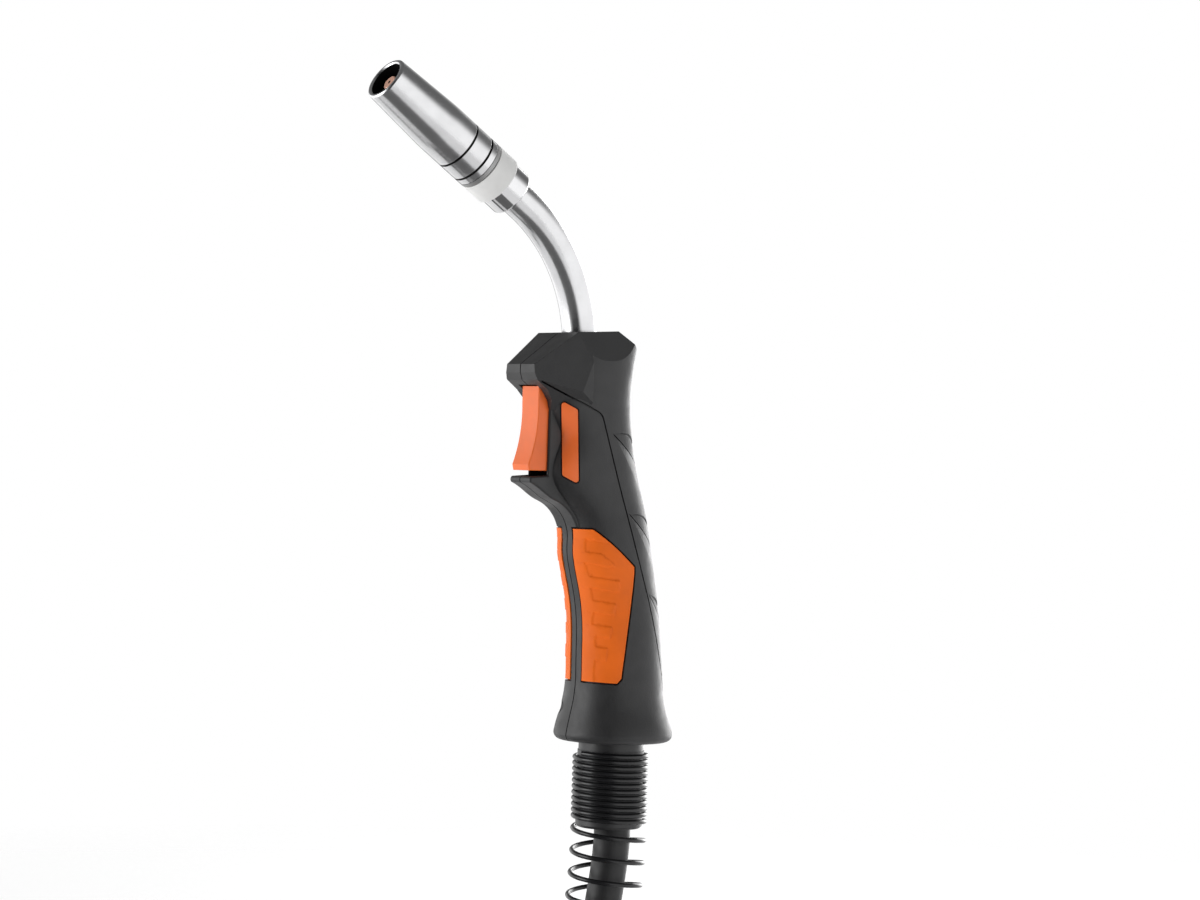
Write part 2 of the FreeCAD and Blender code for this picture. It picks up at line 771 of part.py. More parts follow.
def left_form():
    """The left half of the handle's outer form."""
    body = trunk().common(LEFT)
    rim = [edge for edge in body.Edges if edge.BoundBox.ZMax < size("foot_height") + 0.01 and edge.BoundBox.YMin < -1]
    body = body.makeFillet(size("foot_edge_radius"), rim)
    form = body.fuse([nose().common(LEFT), rib_and_guard().common(LEFT)])
    for plane in head_planes():
        form = form.cut(plane)
    return form


def parting_prism(shift=0.0):
    """The block behind and above the line where the back covers meet the front shells."""
    corner_x, corner_height = size("parting_corner_x"), size("parting_corner_height")
    slope = (size("parting_nose_height") - corner_height) / (corner_x - size("nose_front"))
    lip_x = size("parting_lip_x") + shift
    points = [
        (-80, size("nose_under_height") - 10),
        (lip_x, size("nose_under_height") - 10),
        (lip_x, corner_height + slope * (corner_x + shift - lip_x) + shift),
        (corner_x + shift, corner_height + shift),
        (size("parting_low_x") + shift, size("parting_low_height") + shift),
        (60, size("parting_end_height") - (60 - size("foot_back")) / 2 + shift),
        (60, 130),
        (-80, 130),
    ]
    prism = side_outline(points, 45)
    corner = [
        edge for edge in prism.Edges
        if abs(edge.CenterOfMass.x - corner_x - shift) < 0.01 and abs(edge.CenterOfMass.y) < 0.01
    ]
    return prism.makeFillet(size("parting_corner_radius"), corner)


def across(diameter, x, height, low_y, high_y):
    """A round bar across the handle."""
    return Part.makeCylinder(diameter / 2, high_y - low_y, Vector(x, low_y, height), Vector(0, 1, 0))


def half_width_at(form, x, height, radius=0.0):
    """How far the left side of the form is from the middle at this place in the side view, or least round it."""
    widths = []
    for along, up in ((radius, 0), (0, radius), (-radius, 0), (0, -radius)) if radius else ((0, 0),):
        start = Vector(x + along, -0.5, height + up)
        line = Part.LineSegment(start, Vector(start.x, -40, start.z)).toShape()
        widths.append(-line.common(form).BoundBox.YMin)
    return min(widths)


def along_neck(depth):
    """A point on the neck's straight line inside the handle, this far below its exit."""
    return neck_place.multVec(Vector(0, 0, -depth))


NECK_UP = neck_place.Rotation.multVec(Vector(0, 0, 1))
SCREWS = [
    (size(f"{place}_screw_x"), size(f"{place}_screw_height"))
    for place in ("shell", "foot", "cover", "crown")
]


def cavity():
    """The room in the left half, around the bosses, the coupling's saddle and the switch's seat."""
    room = trunk(size("wall")).common(
        box_between((-60, -40, size("cavity_low_height")), (60, 0, size("cavity_high_height"))))
    kept = [across(size("boss_diameter"), x, height, -40, 0) for x, height in SCREWS]
    front, foot = size("switch_front"), size("switch_middle_height") - size("switch_long") / 2
    back, beside, play = front + size("switch_deep"), size("switch_wide") / 2, size("switch_play")
    room = room.fuse(box_between(
        (front - play, -beside - play, foot - play), (back, 0, foot + size("switch_long") + play)))
    kept.append(box_between((front, -40, foot + 2), (back, -beside, foot + 6)))
    top = along_neck(size("neck_in_handle") + 6)
    saddle = box_between((-36, -30, top.z - 5), (4, 0, top.z))
    barrel = Part.makeCylinder(size("coupling_diameter") / 2, 80, along_neck(90), NECK_UP)
    kept.append(saddle.cut([barrel, box_between((-60, -12.5, top.z - 6), (top.x - 2, 1, top.z + 1))]))
    return room.cut(kept)


def ball_seat():
    """The ball's seat in the handle's foot, with the openings that its neck and sleeve swing in."""
    centre = Vector(0, 0, size("ball_height"))
    swing = math.radians(size("swivel_angle"))
    room = size("swivel_room")

    def reach(radius, depth):
        return radius * math.cos(swing) + depth * math.sin(swing) + room

    neck = size("ball_neck_diameter") / 2
    sleeve = size("sleeve_diameter") / 2
    shoulder = size("ball_height") - size("sleeve_top_height")
    pocket_depth = shoulder * math.cos(swing) - sleeve * math.sin(swing) - room
    foot_depth = size("ball_height") - size("foot_height") + 1
    seat = Part.makeSphere(size("ball_diameter") / 2 + size("ball_fit"), centre)
    throat = Part.makeCone(reach(neck, 0), reach(neck, shoulder), shoulder, centre, Vector(0, 0, -1))
    pocket = Part.makeCylinder(
        reach(sleeve, foot_depth), foot_depth - pocket_depth,
        centre - Vector(0, 0, pocket_depth), Vector(0, 0, -1))
    return seat.fuse([throat, pocket])


def left_prism(points, grow):
    """A block through the left side over an outline in the side view, grown by a gap."""
    corners = [Vector(x, -45, height) for x, height in points]
    face = Part.Face(Part.makePolygon(corners + corners[:1]))
    if grow:
        face = Part.Face(face.OuterWire.makeOffset2D(grow))
    return face.extrude(Vector(0, 45, 0))


def pad_block(grow=0.0):
    points = [
        (-60, size("pad_top_height")),
        (size("pad_bend_x"), size("pad_top_height")),
        (size("pad_back_x"), size("pad_back_height")),
        (size("pad_back_x"), size("pad_back_low_height")),
        (size("pad_low_x"), size("pad_low_height") + 2),
        (size("pad_low_x") - 1.6, size("pad_low_height")),
        (-60, size("pad_low_height") + 2.4),
    ]
    return left_prism(points, grow).common(box_between((-60, -60, -60), (60, grow - size("pad_front_y"), 60)))


def plate_block(grow=0.0):
    """A block through the left side over the plate's outline, square to the rounded front corner it lies on."""
    turn = math.radians(size("plate_turn"))
    outward = Vector(-math.cos(turn), -math.sin(turn), 0)
    sideways = Vector(math.sin(turn), -math.cos(turn), 0)
    low_across, high_across = size("plate_low_across"), size("plate_high_across")
    low, high = size("plate_low_height"), size("plate_high_height")
    half, slant = size("plate_width") / 2, size("plate_slant")
    corners = [
        outward * size("plate_front_reach") + sideways * across_way + Vector(0, 0, height)
        for across_way, height in (
            (low_across - half, low + slant), (high_across - half, high),
            (high_across + half, high - slant), (low_across + half, low),
        )
    ]
    face = Part.Face(Part.makePolygon(corners + corners[:1]))
    if grow:
        face = Part.Face(face.OuterWire.makeOffset2D(grow, 2))
    depth = size("plate_front_reach") - size("plate_back_reach")
    block = face.extrude(outward * -depth)
    long_edges = [edge for edge in block.Edges if abs(edge.Length - depth) < 0.001]
    return block.makeFillet(size("plate_corner_radius") + grow, long_edges)


STEPS = (
    # where a step starts on the side (x, height), then the heights of its edge and its crease on the spine
    ((-16.9, 69.1), 54.0, 42.4),
    ((-7.3, 36.1), 21.1, 10.7),
    ((3.7, 3.0), -11.0, -24.0),
    ((11.8, -29.2), -38.0, -46.5),
)


def spine_steps(form):
    """Cutters for the left half that leave overlapping steps down the spine."""
    cutters = []
    skin = trunk()
    for (x, height), edge_height, crease_height in STEPS:
        start = Vector(x, -half_width_at(form, x, height), height)
        spine = []
        for level in (edge_height, crease_height):
            line = Part.LineSegment(Vector(0, -0.01, level), Vector(60, -0.01, level)).toShape()
            spine.append(Vector(line.common(form).BoundBox.XMax, 0, level))
        edge, crease = spine
        axis = (crease - start).normalize()
        arm = (edge - start) - axis * (edge - start).dot(axis)
        tilt = math.asin((size("step_depth") - size("step_edge")) / arm.Length)
        pivot = start - arm.normalize() * (size("step_edge") / math.sin(tilt))
        axis = (crease - pivot).normalize()
        turned_skin = skin.copy()
        turned_skin.rotate(pivot, axis, math.degrees(tilt))
        if turned_skin.isInside(edge, 0.001, True):
            turned_skin = skin.copy()
            turned_skin.rotate(pivot, axis, -math.degrees(tilt))
        turned_skin.translate(Vector(-size("step_sink"), size("step_sink") / 2, 0))
        out = Vector(1, 0, 0.3)
        corners = [start - out * 6, edge - out * 6, crease - out * 6, start - out * 6]
        block = Part.Face(Part.makePolygon(corners)).extrude(out * 18)
        cutters.append(block.cut(turned_skin))
    return cutters


def parting_groove():
    """The groove along the line where the left cover meets the left shell."""
    half = size("seam_width") / 2
    depth = size("seam_depth")
    slab = parting_prism(-half).cut(parting_prism(half)).common(LEFT)
    nose_core = box_between(
        (size("nose_front") + depth, -(size("nose_half_width") - depth), 70), (size("shoulder_front"), 0, 130))
    return slab.cut([trunk(depth), nose_core])


def housing():
    """The two front shells, the two back covers, and the pads, plates and screws on them."""
    form = left_form()
    slot_half = size("trigger_width") / 2 + size("slot_side_gap")
    slot = box_between((-70, -slot_half, size("guard_top_height")),
                       (size("switch_front") - 1, 0, size("trigger_top_height") + 0.5))
    bore = Part.makeCylinder(size("neck_diameter") / 2, 70, along_neck(size("neck_in_handle")), NECK_UP)
    pin = across(size("pin_diameter"), size("pivot_x"), size("pivot_height"), -size("pin_length") / 2, 0)
    pad_skin = trunk(size("pad_thickness"))
    plate_skin = trunk(size("plate_thickness") + size("plate_recess"))
    pad_room = pad_block(size("pad_gap")).cut(pad_skin)
    plate_room = plate_block(size("plate_gap")).cut(plate_skin)
    half = cut_away(form, [cavity(), slot, bore, pin, ball_seat(), pad_room, plate_room, parting_groove()])
    prism = parting_prism()
    shell = half.cut(prism)
    cover = cut_away(half.common(prism), spine_steps(form))
    screws = []
    right_tools, left_tools = [], []
    for x, height in SCREWS:
        out = half_width_at(form, x, height, size("screw_head_diameter") / 2)
        seat = out - size("screw_sink") - size("screw_head_height")
        head = size("screw_head_diameter")
        shank = across(size("screw_diameter"), x, height, -(out - size("screw_grip")), seat)
        cap = across(head, x, height, seat, seat + size("screw_head_height"))
        left_tools.append(shank)
        right_tools += [
            across(size("screw_diameter"), x, height, -seat, 0),
            across(head + 2 * size("screw_head_gap"), x, height, -40, -seat),
        ]
        screws.append(shank.fuse(cap))
    for label, shape in (
        ("left_shell", cut_away(shell, left_tools)),
        ("right_shell", mirrored(cut_away(shell, right_tools))),
        ("left_cover", cut_away(cover, left_tools)),
        ("right_cover", mirrored(cut_away(cover, right_tools))),
    ):
        piece = max(shape.Solids, key=lambda solid: solid.Volume)
        assert piece.Volume > 0.999 * shape.Volume, label
        solid_feature(label, piece)
    pad = pad_block().common(trunk(-size("pad_proud"))).cut(pad_skin).Solids[0]
    plate = plate_block().common(trunk(size("plate_recess"))).cut(plate_skin).Solids[0]
    for label, shape in (("grip_pad", pad), ("side_plate", plate)):
        solid_feature("left_" + label, shape)
        solid_feature("right_" + label, mirrored(shape))
    solid_feature("housing_screws", Part.makeCompound(screws))


# Primitives bound to the sheet


def bound_box(name, lows, highs):
    """A box between two corners, each given as three expressions."""
    box = document.addObject("Part::Box", name)
    for side, axis, low, high in zip(("Length", "Width", "Height"), "xyz", lows, highs):
        box.setExpression(side, f"({high}) - ({low})")
        box.setExpression(f"Placement.Base.{axis}", low)
    return box


def bound_rod(name, diameter, length, start, direction):
    rod = document.addObject("Part::Cylinder", name)
    rod.setExpression("Radius", f"({diameter}) / 2")
    rod.setExpression("Height", length)
    rod.Placement = Placement(Vector(), Rotation(Vector(0, 0, 1), direction))
    for axis, expression in zip("xyz", start):
        rod.setExpression(f"Placement.Base.{axis}", expression)
    return rod


def joined(label, shapes):
    fusion = document.addObject("Part::MultiFuse", label)
    fusion.Label = label
    fusion.Shapes = shapes
    return fusion


def less(label, base, tool):
    cut = document.addObject("Part::Cut", label)
    cut.Label = label
    cut.Base = base
    cut.Tool = tool
    return cut


# Trigger and switch


def trigger():
    body = new_body("trigger")
    front, back = "size.trigger_top_front", "size.trigger_back"
    low = "size.trigger_bottom_height"
    side = bound_sketch(body, "trigger_side", "XZ_Plane", [
        (front, "size.trigger_top_height"),
        (front, "size.trigger_curve_start", "size.trigger_curve_radius", 1),
        ("size.trigger_bottom_front", "size.trigger_curve_end"),
        ("size.trigger_bottom_front + 0.6", low),
        (back + " - 3", low),
        (back, low + " + 3"),
        (back, "size.trigger_top_height - 0.5"),
    ])
    pad = body.newObject("PartDesign::Pad", "trigger_pad")
    pad.Profile = side
    pad.Midplane = True
    pad.setExpression("Length", "size.trigger_width")
    document.recompute()
    half = size("trigger_width") / 2
    names = [
        f"Edge{index}" for index, edge in enumerate(pad.Shape.Edges, start=1)
        if abs(abs(edge.CenterOfMass.y) - half) < 0.001 and edge.BoundBox.XMax < size("trigger_back") - 0.01
        and edge.BoundBox.ZMin < size("trigger_top_height") - 1
    ]
    round_edges = body.newObject("PartDesign::Fillet", "trigger_edges")
    round_edges.Base = (pad, names)
    round_edges.setExpression("Radius", "size.trigger_edge_radius")
    nub = "size.switch_middle_height"
    nub_tip = "size.switch_front - size.plunger_out - size.plunger_gap"
    nub_side = bound_sketch(body, "nub_side", "XZ_Plane", [
        (back + " - 1", nub + " + 1.4"),
        (back + " - 1", nub + " - 1.4"),
        (nub_tip, nub + " - 0.9"),
        (nub_tip, nub + " + 0.9"),
    ])
    nub_pad = body.newObject("PartDesign::Pad", "nub")
    nub_pad.Profile = nub_side
    nub_pad.Midplane = True
    nub_pad.Length = 5
    inside = bound_sketch(body, "hollow_side", "XZ_Plane", [
        (front + " + size.trigger_wall", nub + " - 3.5"),
        ("size.trigger_bottom_front + 1.6 * size.trigger_wall", low + " + size.trigger_wall + 1"),
        (back + " + 1", low + " + size.trigger_wall + 1"),
        (back + " + 1", nub + " - 3.5"),
    ])
    hollow = body.newObject("PartDesign::Pocket", "hollow")
    hollow.Profile = inside
    hollow.Midplane = True
    hollow.setExpression("Length", "size.trigger_width - 2 * size.trigger_wall")
    pivot = circle_sketch(body, "pivot_bore", "XZ_Plane", [
        ("size.pivot_x", "size.pivot_height", "size.pin_diameter + 2 * size.running_fit")])
    body.Tip = cut_through(body, pivot, "pivot_hole")


def trigger_pin():
    bound_rod("trigger_pin", "size.pin_diameter", "size.pin_length",
              ("size.pivot_x", "-size.pin_length / 2", "size.pivot_height"), Vector(0, 1, 0))


def switch_pieces():
    front, back = "size.switch_front", "size.switch_front + size.switch_deep"
    middle, foot = "size.switch_middle_height", "size.switch_middle_height - size.switch_long / 2"
    half = "size.switch_wide / 2"
    case = bound_box("switch_case", (front, "-" + half, foot), (back, half, middle + " + size.switch_long / 2"))
    terminals = [
        bound_box(f"terminal_{word}", (front + " + 2.6", low, foot + " - size.terminal_length"),
                  (front + " + 3.4", high, foot + " + 0.5"))
        for word, low, high in (
            ("left", "-size.switch_wide / 2 + 0.3", "-size.switch_wide / 2 + 1.3"),
            ("right", "size.switch_wide / 2 - 1.3", "size.switch_wide / 2 - 0.3"),
        )
    ]
    well_half = "size.plunger_width / 2 + size.running_fit"
    well = bound_box(
        "plunger_well",
        (front + " - 1", "-(" + well_half + ")", middle + " - size.plunger_height / 2 - size.running_fit"),
        (front + " + size.plunger_in + size.plunger_travel", well_half,
         middle + " + size.plunger_height / 2 + size.running_fit"))
    less("microswitch", joined("switch_with_terminals", [case] + terminals), well)
    bound_box(
        "switch_plunger",
        (front + " - size.plunger_out", "-size.plunger_width / 2", middle + " - size.plunger_height / 2"),
        (front + " + size.plunger_in", "size.plunger_width / 2", middle + " + size.plunger_height / 2"))


# Routes of cords and springs, as tangent arcs through points with directions


def arc_from(start, direction, end):
    """The arc that leaves start in this direction and reaches end."""
    chord = end - start
    way = Vector(chord).normalize()
    off = direction - way * direction.dot(way)
    if off.Length < 1e-6:
        return Part.LineSegment(start, end).toShape()
    angle = math.acos(max(-1.0, min(1.0, direction.dot(way))))
    middle = (start + end) / 2 + off.normalize() * (chord.Length / 2 * math.tan(angle / 2))
    return Part.Arc(start, middle, end).toShape()


def two_arcs(start, direction, end, last):
    """Two tangent arcs between two points with given directions."""
    chord = end - start
    both = direction + last
    bend = 1 - direction.dot(last)
    if bend < 1e-9:
        reach = chord.dot(chord) / (4 * chord.dot(last))
    else:
        reach = (math.sqrt(chord.dot(both) ** 2 + 2 * bend * chord.dot(chord)) - chord.dot(both)) / (2 * bend)
    joint = (start + direction * reach + end - last * reach) / 2
    return [arc_from(start, direction, joint), arc_from(end, last * -1, joint)]


def tube(route, diameter, sides):
    """One unbroken tube along a route of (point, direction), with a flat-sided section."""
    edges = []
    for (start, direction), (end, last) in zip(route, route[1:]):
        edges += two_arcs(start, direction, end, last)
    path = Part.Wire(Part.__sortEdges__(edges))
    point, direction = route[0]
    across_way = direction.cross(Vector(0.3, 1, 0.2)).normalize()
    other_way = direction.cross(across_way)
    corners = [
        point + across_way * (diameter / 2 * math.cos(angle)) + other_way * (diameter / 2 * math.sin(angle))
        for angle in (2 * math.pi * index / sides for index in range(sides))
    ]
    section = Part.makePolygon(corners + corners[:1])
    shape = path.makePipeShell([section], True, False)
    area = Part.Face(section).Area
    return shape, path, shape.Volume / (area * path.Length)


def along_corners(corners):
    """The route that starts at the first corner, touches the middle of each inner side and ends at the last."""
    sides = list(zip(corners, corners[1:]))
    route = [(corners[0], (corners[1] - corners[0]).normalize())]
    for start, end in sides[1:-1]:
        route.append(((start + end) / 2, (end - start).normalize()))
    route.append((corners[-1], (corners[-1] - corners[-2]).normalize()))
    return route


def route_through(place, start, end, count):
    """Points and directions at even steps of a formula."""
    step = (end - start) / count
    route = []
    for index in range(count + 1):
        value = start + step * index
        ahead, behind = place(value + 1e-4), place(value - 1e-4)
        route.append((place(value), (ahead - behind).normalize()))
    return route


def least_gap(path, diameter, step):
    """The least gap of a tube to itself, measured on points along it, past what is its own neighbour."""
    points = path.discretize(Number=int(path.Length / step) + 1)
    skip = int(2.5 * diameter / step) + 1
    least = min(
        (points[first] - points[second]).Length
        for first in range(len(points))
        for second in range(first + skip, len(points))
    )
    return least - diameter


# Cable support: one moulding of ball, neck and sleeve, with its spring


def cable_support():
    centre = "size.ball_height"
    ball, neck = "size.ball_diameter / 2", "size.ball_neck_diameter / 2"
    ball_top = "0.76 * size.ball_diameter / 2"
    bore, wide = "size.gland_bore / 2", "size.sleeve_bore / 2"
    sleeve = "size.sleeve_diameter / 2"
    seat = "size.spring_seat_diameter / 2"
    neck_start = f"-sqrt(({ball}) ^ 2 - ({neck}) ^ 2)"
    body = turned("cable_support", [
        (bore, "0"),
        (f"{bore} + {ball_top} * tan(size.swivel_angle)", ball_top),
        (f"sqrt(({ball}) ^ 2 - ({ball_top}) ^ 2)", ball_top, ball, 1),
        (neck, neck_start),
        (neck, f"size.sleeve_top_height - {centre}"),
        (sleeve + " - 1", f"size.sleeve_top_height - {centre}"),
        (sleeve, f"size.sleeve_top_height - 1 - {centre}"),
        (sleeve, f"size.spring_seat_height - {centre}"),
        (seat, f"size.spring_seat_height - {centre}"),
        (seat, f"size.sleeve_end_height + 1 - {centre}"),
        (seat + " - 1", f"size.sleeve_end_height - {centre}"),
        (wide, f"size.sleeve_end_height - {centre}"),
        (wide, f"size.gland_end_height - {centre}"),
        (bore, f"size.gland_end_height - {centre}"),
    ])
    body.setExpression("Placement.Base.z", centre)


def spring_axis(height):
    """How far the spring's axis has drifted forward at this height: the cable pulls it over below its sleeve."""
    return -size("spring_drift") * max(0.0, size("sleeve_end_height") - height) ** 2


def support_spring():
    tight, loose = size("spring_tight_turns"), size("spring_open_turns")
    pitch, wide_pitch = size("spring_pitch"), size("spring_open_pitch")
    wire = size("spring_wire")
    radius = size("spring_seat_diameter") / 2 + size("spring_fit") + wire / 2
    top = size("spring_seat_height") - wire / 2 - size("spring_fit")

    def place(turns):
        past = max(0.0, turns - tight)
        grown = min(past, 1.0) ** 2 / 2 + max(0.0, past - 1)
        height = top - pitch * turns - (wide_pitch - pitch) * grown
        angle = 2 * math.pi * turns + math.radians(size("spring_start_angle"))
        return Vector(spring_axis(height) + radius * math.cos(angle), radius * math.sin(angle), height)

    turns = tight + loose
    shape, path, share = tube(route_through(place, 0, turns, int(round(turns * 4))), wire, 6)
    gap = least_gap(path, wire, 2.0)
    print(f"support_spring: gap to itself {gap:.2f} mm, volume over section times length {share:.3f}")
    solid_feature("support_spring", shape)


# Cable: the stretches in the handle and in the ball, the hanging lead, and the coil with its tail


def coil_corner(number):
    """A corner of the coil's line: in from the outer turn on top, down a layer, and out again below."""
    pitch, total, per_turn = size("coil_pitch"), size("coil_turns"), size("coil_corners")
    turns = (number + 0.5) / per_turn
    from_middle = turns - total / 2
    inner = size("coil_radius") - pitch * total / 2
    radius = (inner + pitch * abs(from_middle)) / math.cos(math.pi / per_turn)
    fall = 0.5 + 0.5 * math.sin(math.pi / 2 * max(-1.0, min(1.0, from_middle / size("coil_change"))))
    angle = -math.pi / 2 - 2 * math.pi * turns
    low = size("floor_height") + size("cable_diameter") / 2
    return Vector(
        size("coil_x") + radius * math.cos(angle),
        size("coil_radius") + radius * math.sin(angle),
        low + pitch * (1 - fall),
    )


def cable_corners():
    """The corners of the whole cable's route, from the coupling in the handle to the plug."""
    start = along_neck(size("neck_in_handle") + size("coupling_length"))
    ball, sleeve_end = size("ball_height"), size("sleeve_end_height")
    low = size("floor_height") + size("cable_diameter") / 2
    top = low + size("coil_pitch")
    hanging = [
        start,
        start - NECK_UP * 17,
        Vector(0, 0, ball + 13),
        Vector(0, 0, ball - 13),
        Vector(0, 0, sleeve_end + 11),
        Vector(3, 0, sleeve_end - 5),
        Vector(-4, 0, sleeve_end - 45),
        Vector(-12, 0, sleeve_end - 88),
        Vector(-46, 0, top),
    ]
    coil = [coil_corner(number) for number in range(int(size("coil_turns") * size("coil_corners")))]
    heading = Vector(0, 1, 0)
    last = Vector(size("coil_x") - size("coil_radius"), size("coil_radius"), low)
    lie = size("floor_height") + size("nut_diameter") / 2
    tail = [
        last + heading * 0.3 * size("tail_length"),
        Vector(last.x, last.y + 0.7 * size("tail_length"), lie),
        Vector(last.x, last.y + size("tail_length"), lie),
    ]
    return hanging + coil + tail, len(hanging)


def cable_pieces():
    corners, hanging = cable_corners()
    route = along_corners(corners)
    ball = size("ball_height")
    half_gap = size("cable_gap") / 2
    down = Vector(0, 0, -1)
    stretches = {
        "cable_inner": route[:2] + [(Vector(0, 0, ball + half_gap), down)],
        "cable_neck": [(Vector(0, 0, ball - half_gap), down), (Vector(0, 0, size("cable_start_height")), down)],
        "cable_lead": [(Vector(0, 0, size("cable_start_height")), down)] + route[4:hanging],
        "cable_coil": route[hanging - 1:],
    }
    total = size("cable_gap")
    for label, stretch in stretches.items():
        shape, path, share = tube(stretch, size("cable_diameter"), 12)
        total += path.Length
        print(f"{label}: length {path.Length:.0f} mm, volume over section times length {share:.3f}")
        solid_feature(label, shape)
    gap = least_gap(path, size("cable_diameter"), 5.0)
    print(f"cable_coil: gap to itself {gap:.2f} mm; cable {total:.0f} mm in all")
    return corners[-1], Vector(0, 1, 0)


def switch_leads():
    foot = size("switch_middle_height") - size("switch_long") / 2 - size("terminal_length")
    end = along_neck(size("neck_in_handle") + size("coupling_length") + 8)
    beside = (size("cable_diameter") + size("lead_diameter")) / 2 + 0.1
    wires = []
    for side in (-1, 1):
        route = [
            (Vector(size("switch_front") + 3, side * 2.1, foot - 0.1), Vector(0, 0, -1)),
            (Vector(-24.2, side * 10.8, 48.5), Vector(0.2, side * 0.1, -0.97).normalize()),
            (Vector(-15.6, side * 11.1, 34), Vector(0.3, side * -0.1, -0.95).normalize()),
            (Vector(end.x, side * beside, end.z), Vector(0.12, side * -0.1, -0.99).normalize()),
        ]
        wires.append(tube(route, size("lead_diameter"), 8)[0])
    solid_feature("switch_leads", Part.makeCompound(wires))


# Plug: turned pieces on one line, lying on the floor


def plug_pieces(start, heading):
    place = Placement(start, Rotation(Vector(0, 0, 1), heading))
    cable = "size.cable_diameter / 2"
    boot = turned("plug_boot", [
        (cable, "0"),
        (cable + " + 1.2", "0"),
        ("size.boot_diameter / 2", "size.housing_start"),
        ("size.boot_diameter / 2", "size.boot_length"),
        (cable, "size.boot_length"),
    ])
    outer, neck = "size.housing_diameter / 2", "size.housing_neck_diameter / 2"
    low, high = "size.housing_start", "size.housing_start + size.housing_length"
    wall = "size.housing_wall"
    housing_shell = turned("plug_housing", [
        ("size.boot_diameter / 2", low),
        (neck + " - 0.8", low),
        (neck, low + " + 0.8"),
        (neck, low + " + 8"),
        (outer, low + " + 18"),
        (outer, high + " - 6"),
        (outer + " - 3", high + " - 4"),
        (outer + " - 3", high),
        ("size.block_diameter / 2", high),
        ("size.block_diameter / 2", "size.block_start + size.block_flange_length"),
        ("size.block_flange_diameter / 2", "size.block_start + size.block_flange_length"),
        ("size.block_flange_diameter / 2", "size.block_start"),
        ("size.boot_diameter / 2", "size.block_start - 4"),
    ])
    face = "size.block_start + size.block_length"
    tube_half = "size.power_tube_diameter / 2"
    block = turned("plug_block", [
        ("size.power_tube_bore / 2", "size.block_start"),
        ("size.block_flange_diameter / 2", "size.block_start"),
        ("size.block_flange_diameter / 2", "size.block_start + size.block_flange_length"),
        ("size.block_diameter / 2", "size.block_start + size.block_flange_length"),
        ("size.block_diameter / 2", face + " - 0.8"),
        ("size.block_diameter / 2 - 0.8", face),
        (tube_half, face),
        (tube_half, face + " - 14"),
        ("size.power_tube_bore / 2", face + " - 14"),
    ])
    pins = circle_sketch(block, "pin_wells", "XY_Plane", [
        (sign + "size.contact_pin_offset", "0", "size.contact_pin_diameter + 2 * size.running_fit")
        for sign in ("-", "")
    ], height=face)
    wells = block.newObject("PartDesign::Pocket", "wells")
    wells.Profile = pins
    wells.setExpression(
        "Length", "size.contact_pin_length - size.contact_pin_out + size.contact_pin_travel")
    block.Tip = wells
    ring = "size.o_ring_wire"
    end = face + " + size.power_tube_length"
    groove = end + " - 6"
    power = turned("power_tube", [
        ("size.power_tube_bore / 2", face + " - 14"),
        (tube_half, face + " - 14"),
        (tube_half, groove + " - " + ring),
        (tube_half + " - 0.75 * " + ring, groove + " - " + ring),
        (tube_half + " - 0.75 * " + ring, groove),
        (tube_half, groove),
        (tube_half, end + " - 1"),
        (tube_half + " - 1", end),
        ("size.power_tube_bore / 2", end),
    ])
    seal = document.addObject("Part::Torus", "plug_o_ring")
    seal.setExpression("Radius2", f"({ring}) / 2")
    seal.setExpression("Radius1", f"{tube_half} - 0.75 * {ring} + {ring} / 2")
    seal.Placement = place.multiply(Placement(Vector(0, 0, value_of(f"{groove} - {ring} / 2")), Rotation()))
    liner = turned("liner_nut", [
        ("size.liner_diameter / 2 - size.liner_wall", end),
        (tube_half + " - 1.4", end),
        (tube_half + " - 1.4", end + " + size.liner_nut_length - 1"),
        (tube_half + " - 2.4", end + " + size.liner_nut_length"),
        ("size.liner_diameter / 2 - size.liner_wall", end + " + size.liner_nut_length"),
    ])
    nut_low, nut_high = "size.nut_start", "size.nut_start + size.nut_length"
    nut_half, nut_bore = "size.nut_diameter / 2", "size.nut_bore / 2"
    nut = turned("plug_nut", [
        (outer + " - 3 + size.running_fit * 2", nut_low),
        (nut_half + " - 1.5", nut_low),
        (nut_half, nut_low + " + 1.5"),
        (nut_half, nut_high + " - 1.5"),
        (nut_half + " - 1.5", nut_high),
        (nut_bore, nut_high),
        (nut_bore, "size.housing_start + size.housing_length + 0.5"),
        (outer + " - 3 + size.running_fit * 2", "size.housing_start + size.housing_length + 0.5"),
    ])
    flute = circle_sketch(nut, "flute", "XY_Plane", [(nut_half + " + 1", "0", "size.nut_flute_diameter")])
    cut = cut_through(nut, flute, "flute_cut")
    flutes = int(size("nut_flutes"))
    patterned(nut, cut, "Z_Axis", flutes, 360 * (flutes - 1) / flutes, "flutes")
    for piece in (boot, housing_shell, block, power, liner, nut):
        piece.Placement = place
    for side, sign in (("left", "-"), ("right", "")):
        pin = turned(f"contact_pin_{side}", [
            ("0", "0"),
            ("size.contact_pin_diameter / 2", "0"),
            ("size.contact_pin_diameter / 2", "size.contact_pin_length - 0.6"),
            ("size.contact_pin_diameter / 2 - 0.6", "size.contact_pin_length"),
            ("0", "size.contact_pin_length"),
        ])
        rear = f"{face} + size.contact_pin_out - size.contact_pin_length"
        pin.Placement = place.multiply(Placement(
            Vector(value_of(f"{sign}size.contact_pin_offset"), 0, value_of(rear)), Rotation()))


housing()
trigger()
trigger_pin()
switch_pieces()
cable_support()
support_spring()
plug_start, plug_heading = cable_pieces()
switch_leads()
plug_pieces(plug_start, plug_heading)


gas_nozzle()
insulator_ring()
neck_collar()
gas_diffuser()
contact_tip()
nozzle_spring()
neck_parts()
neck_coupling()
document.recompute()

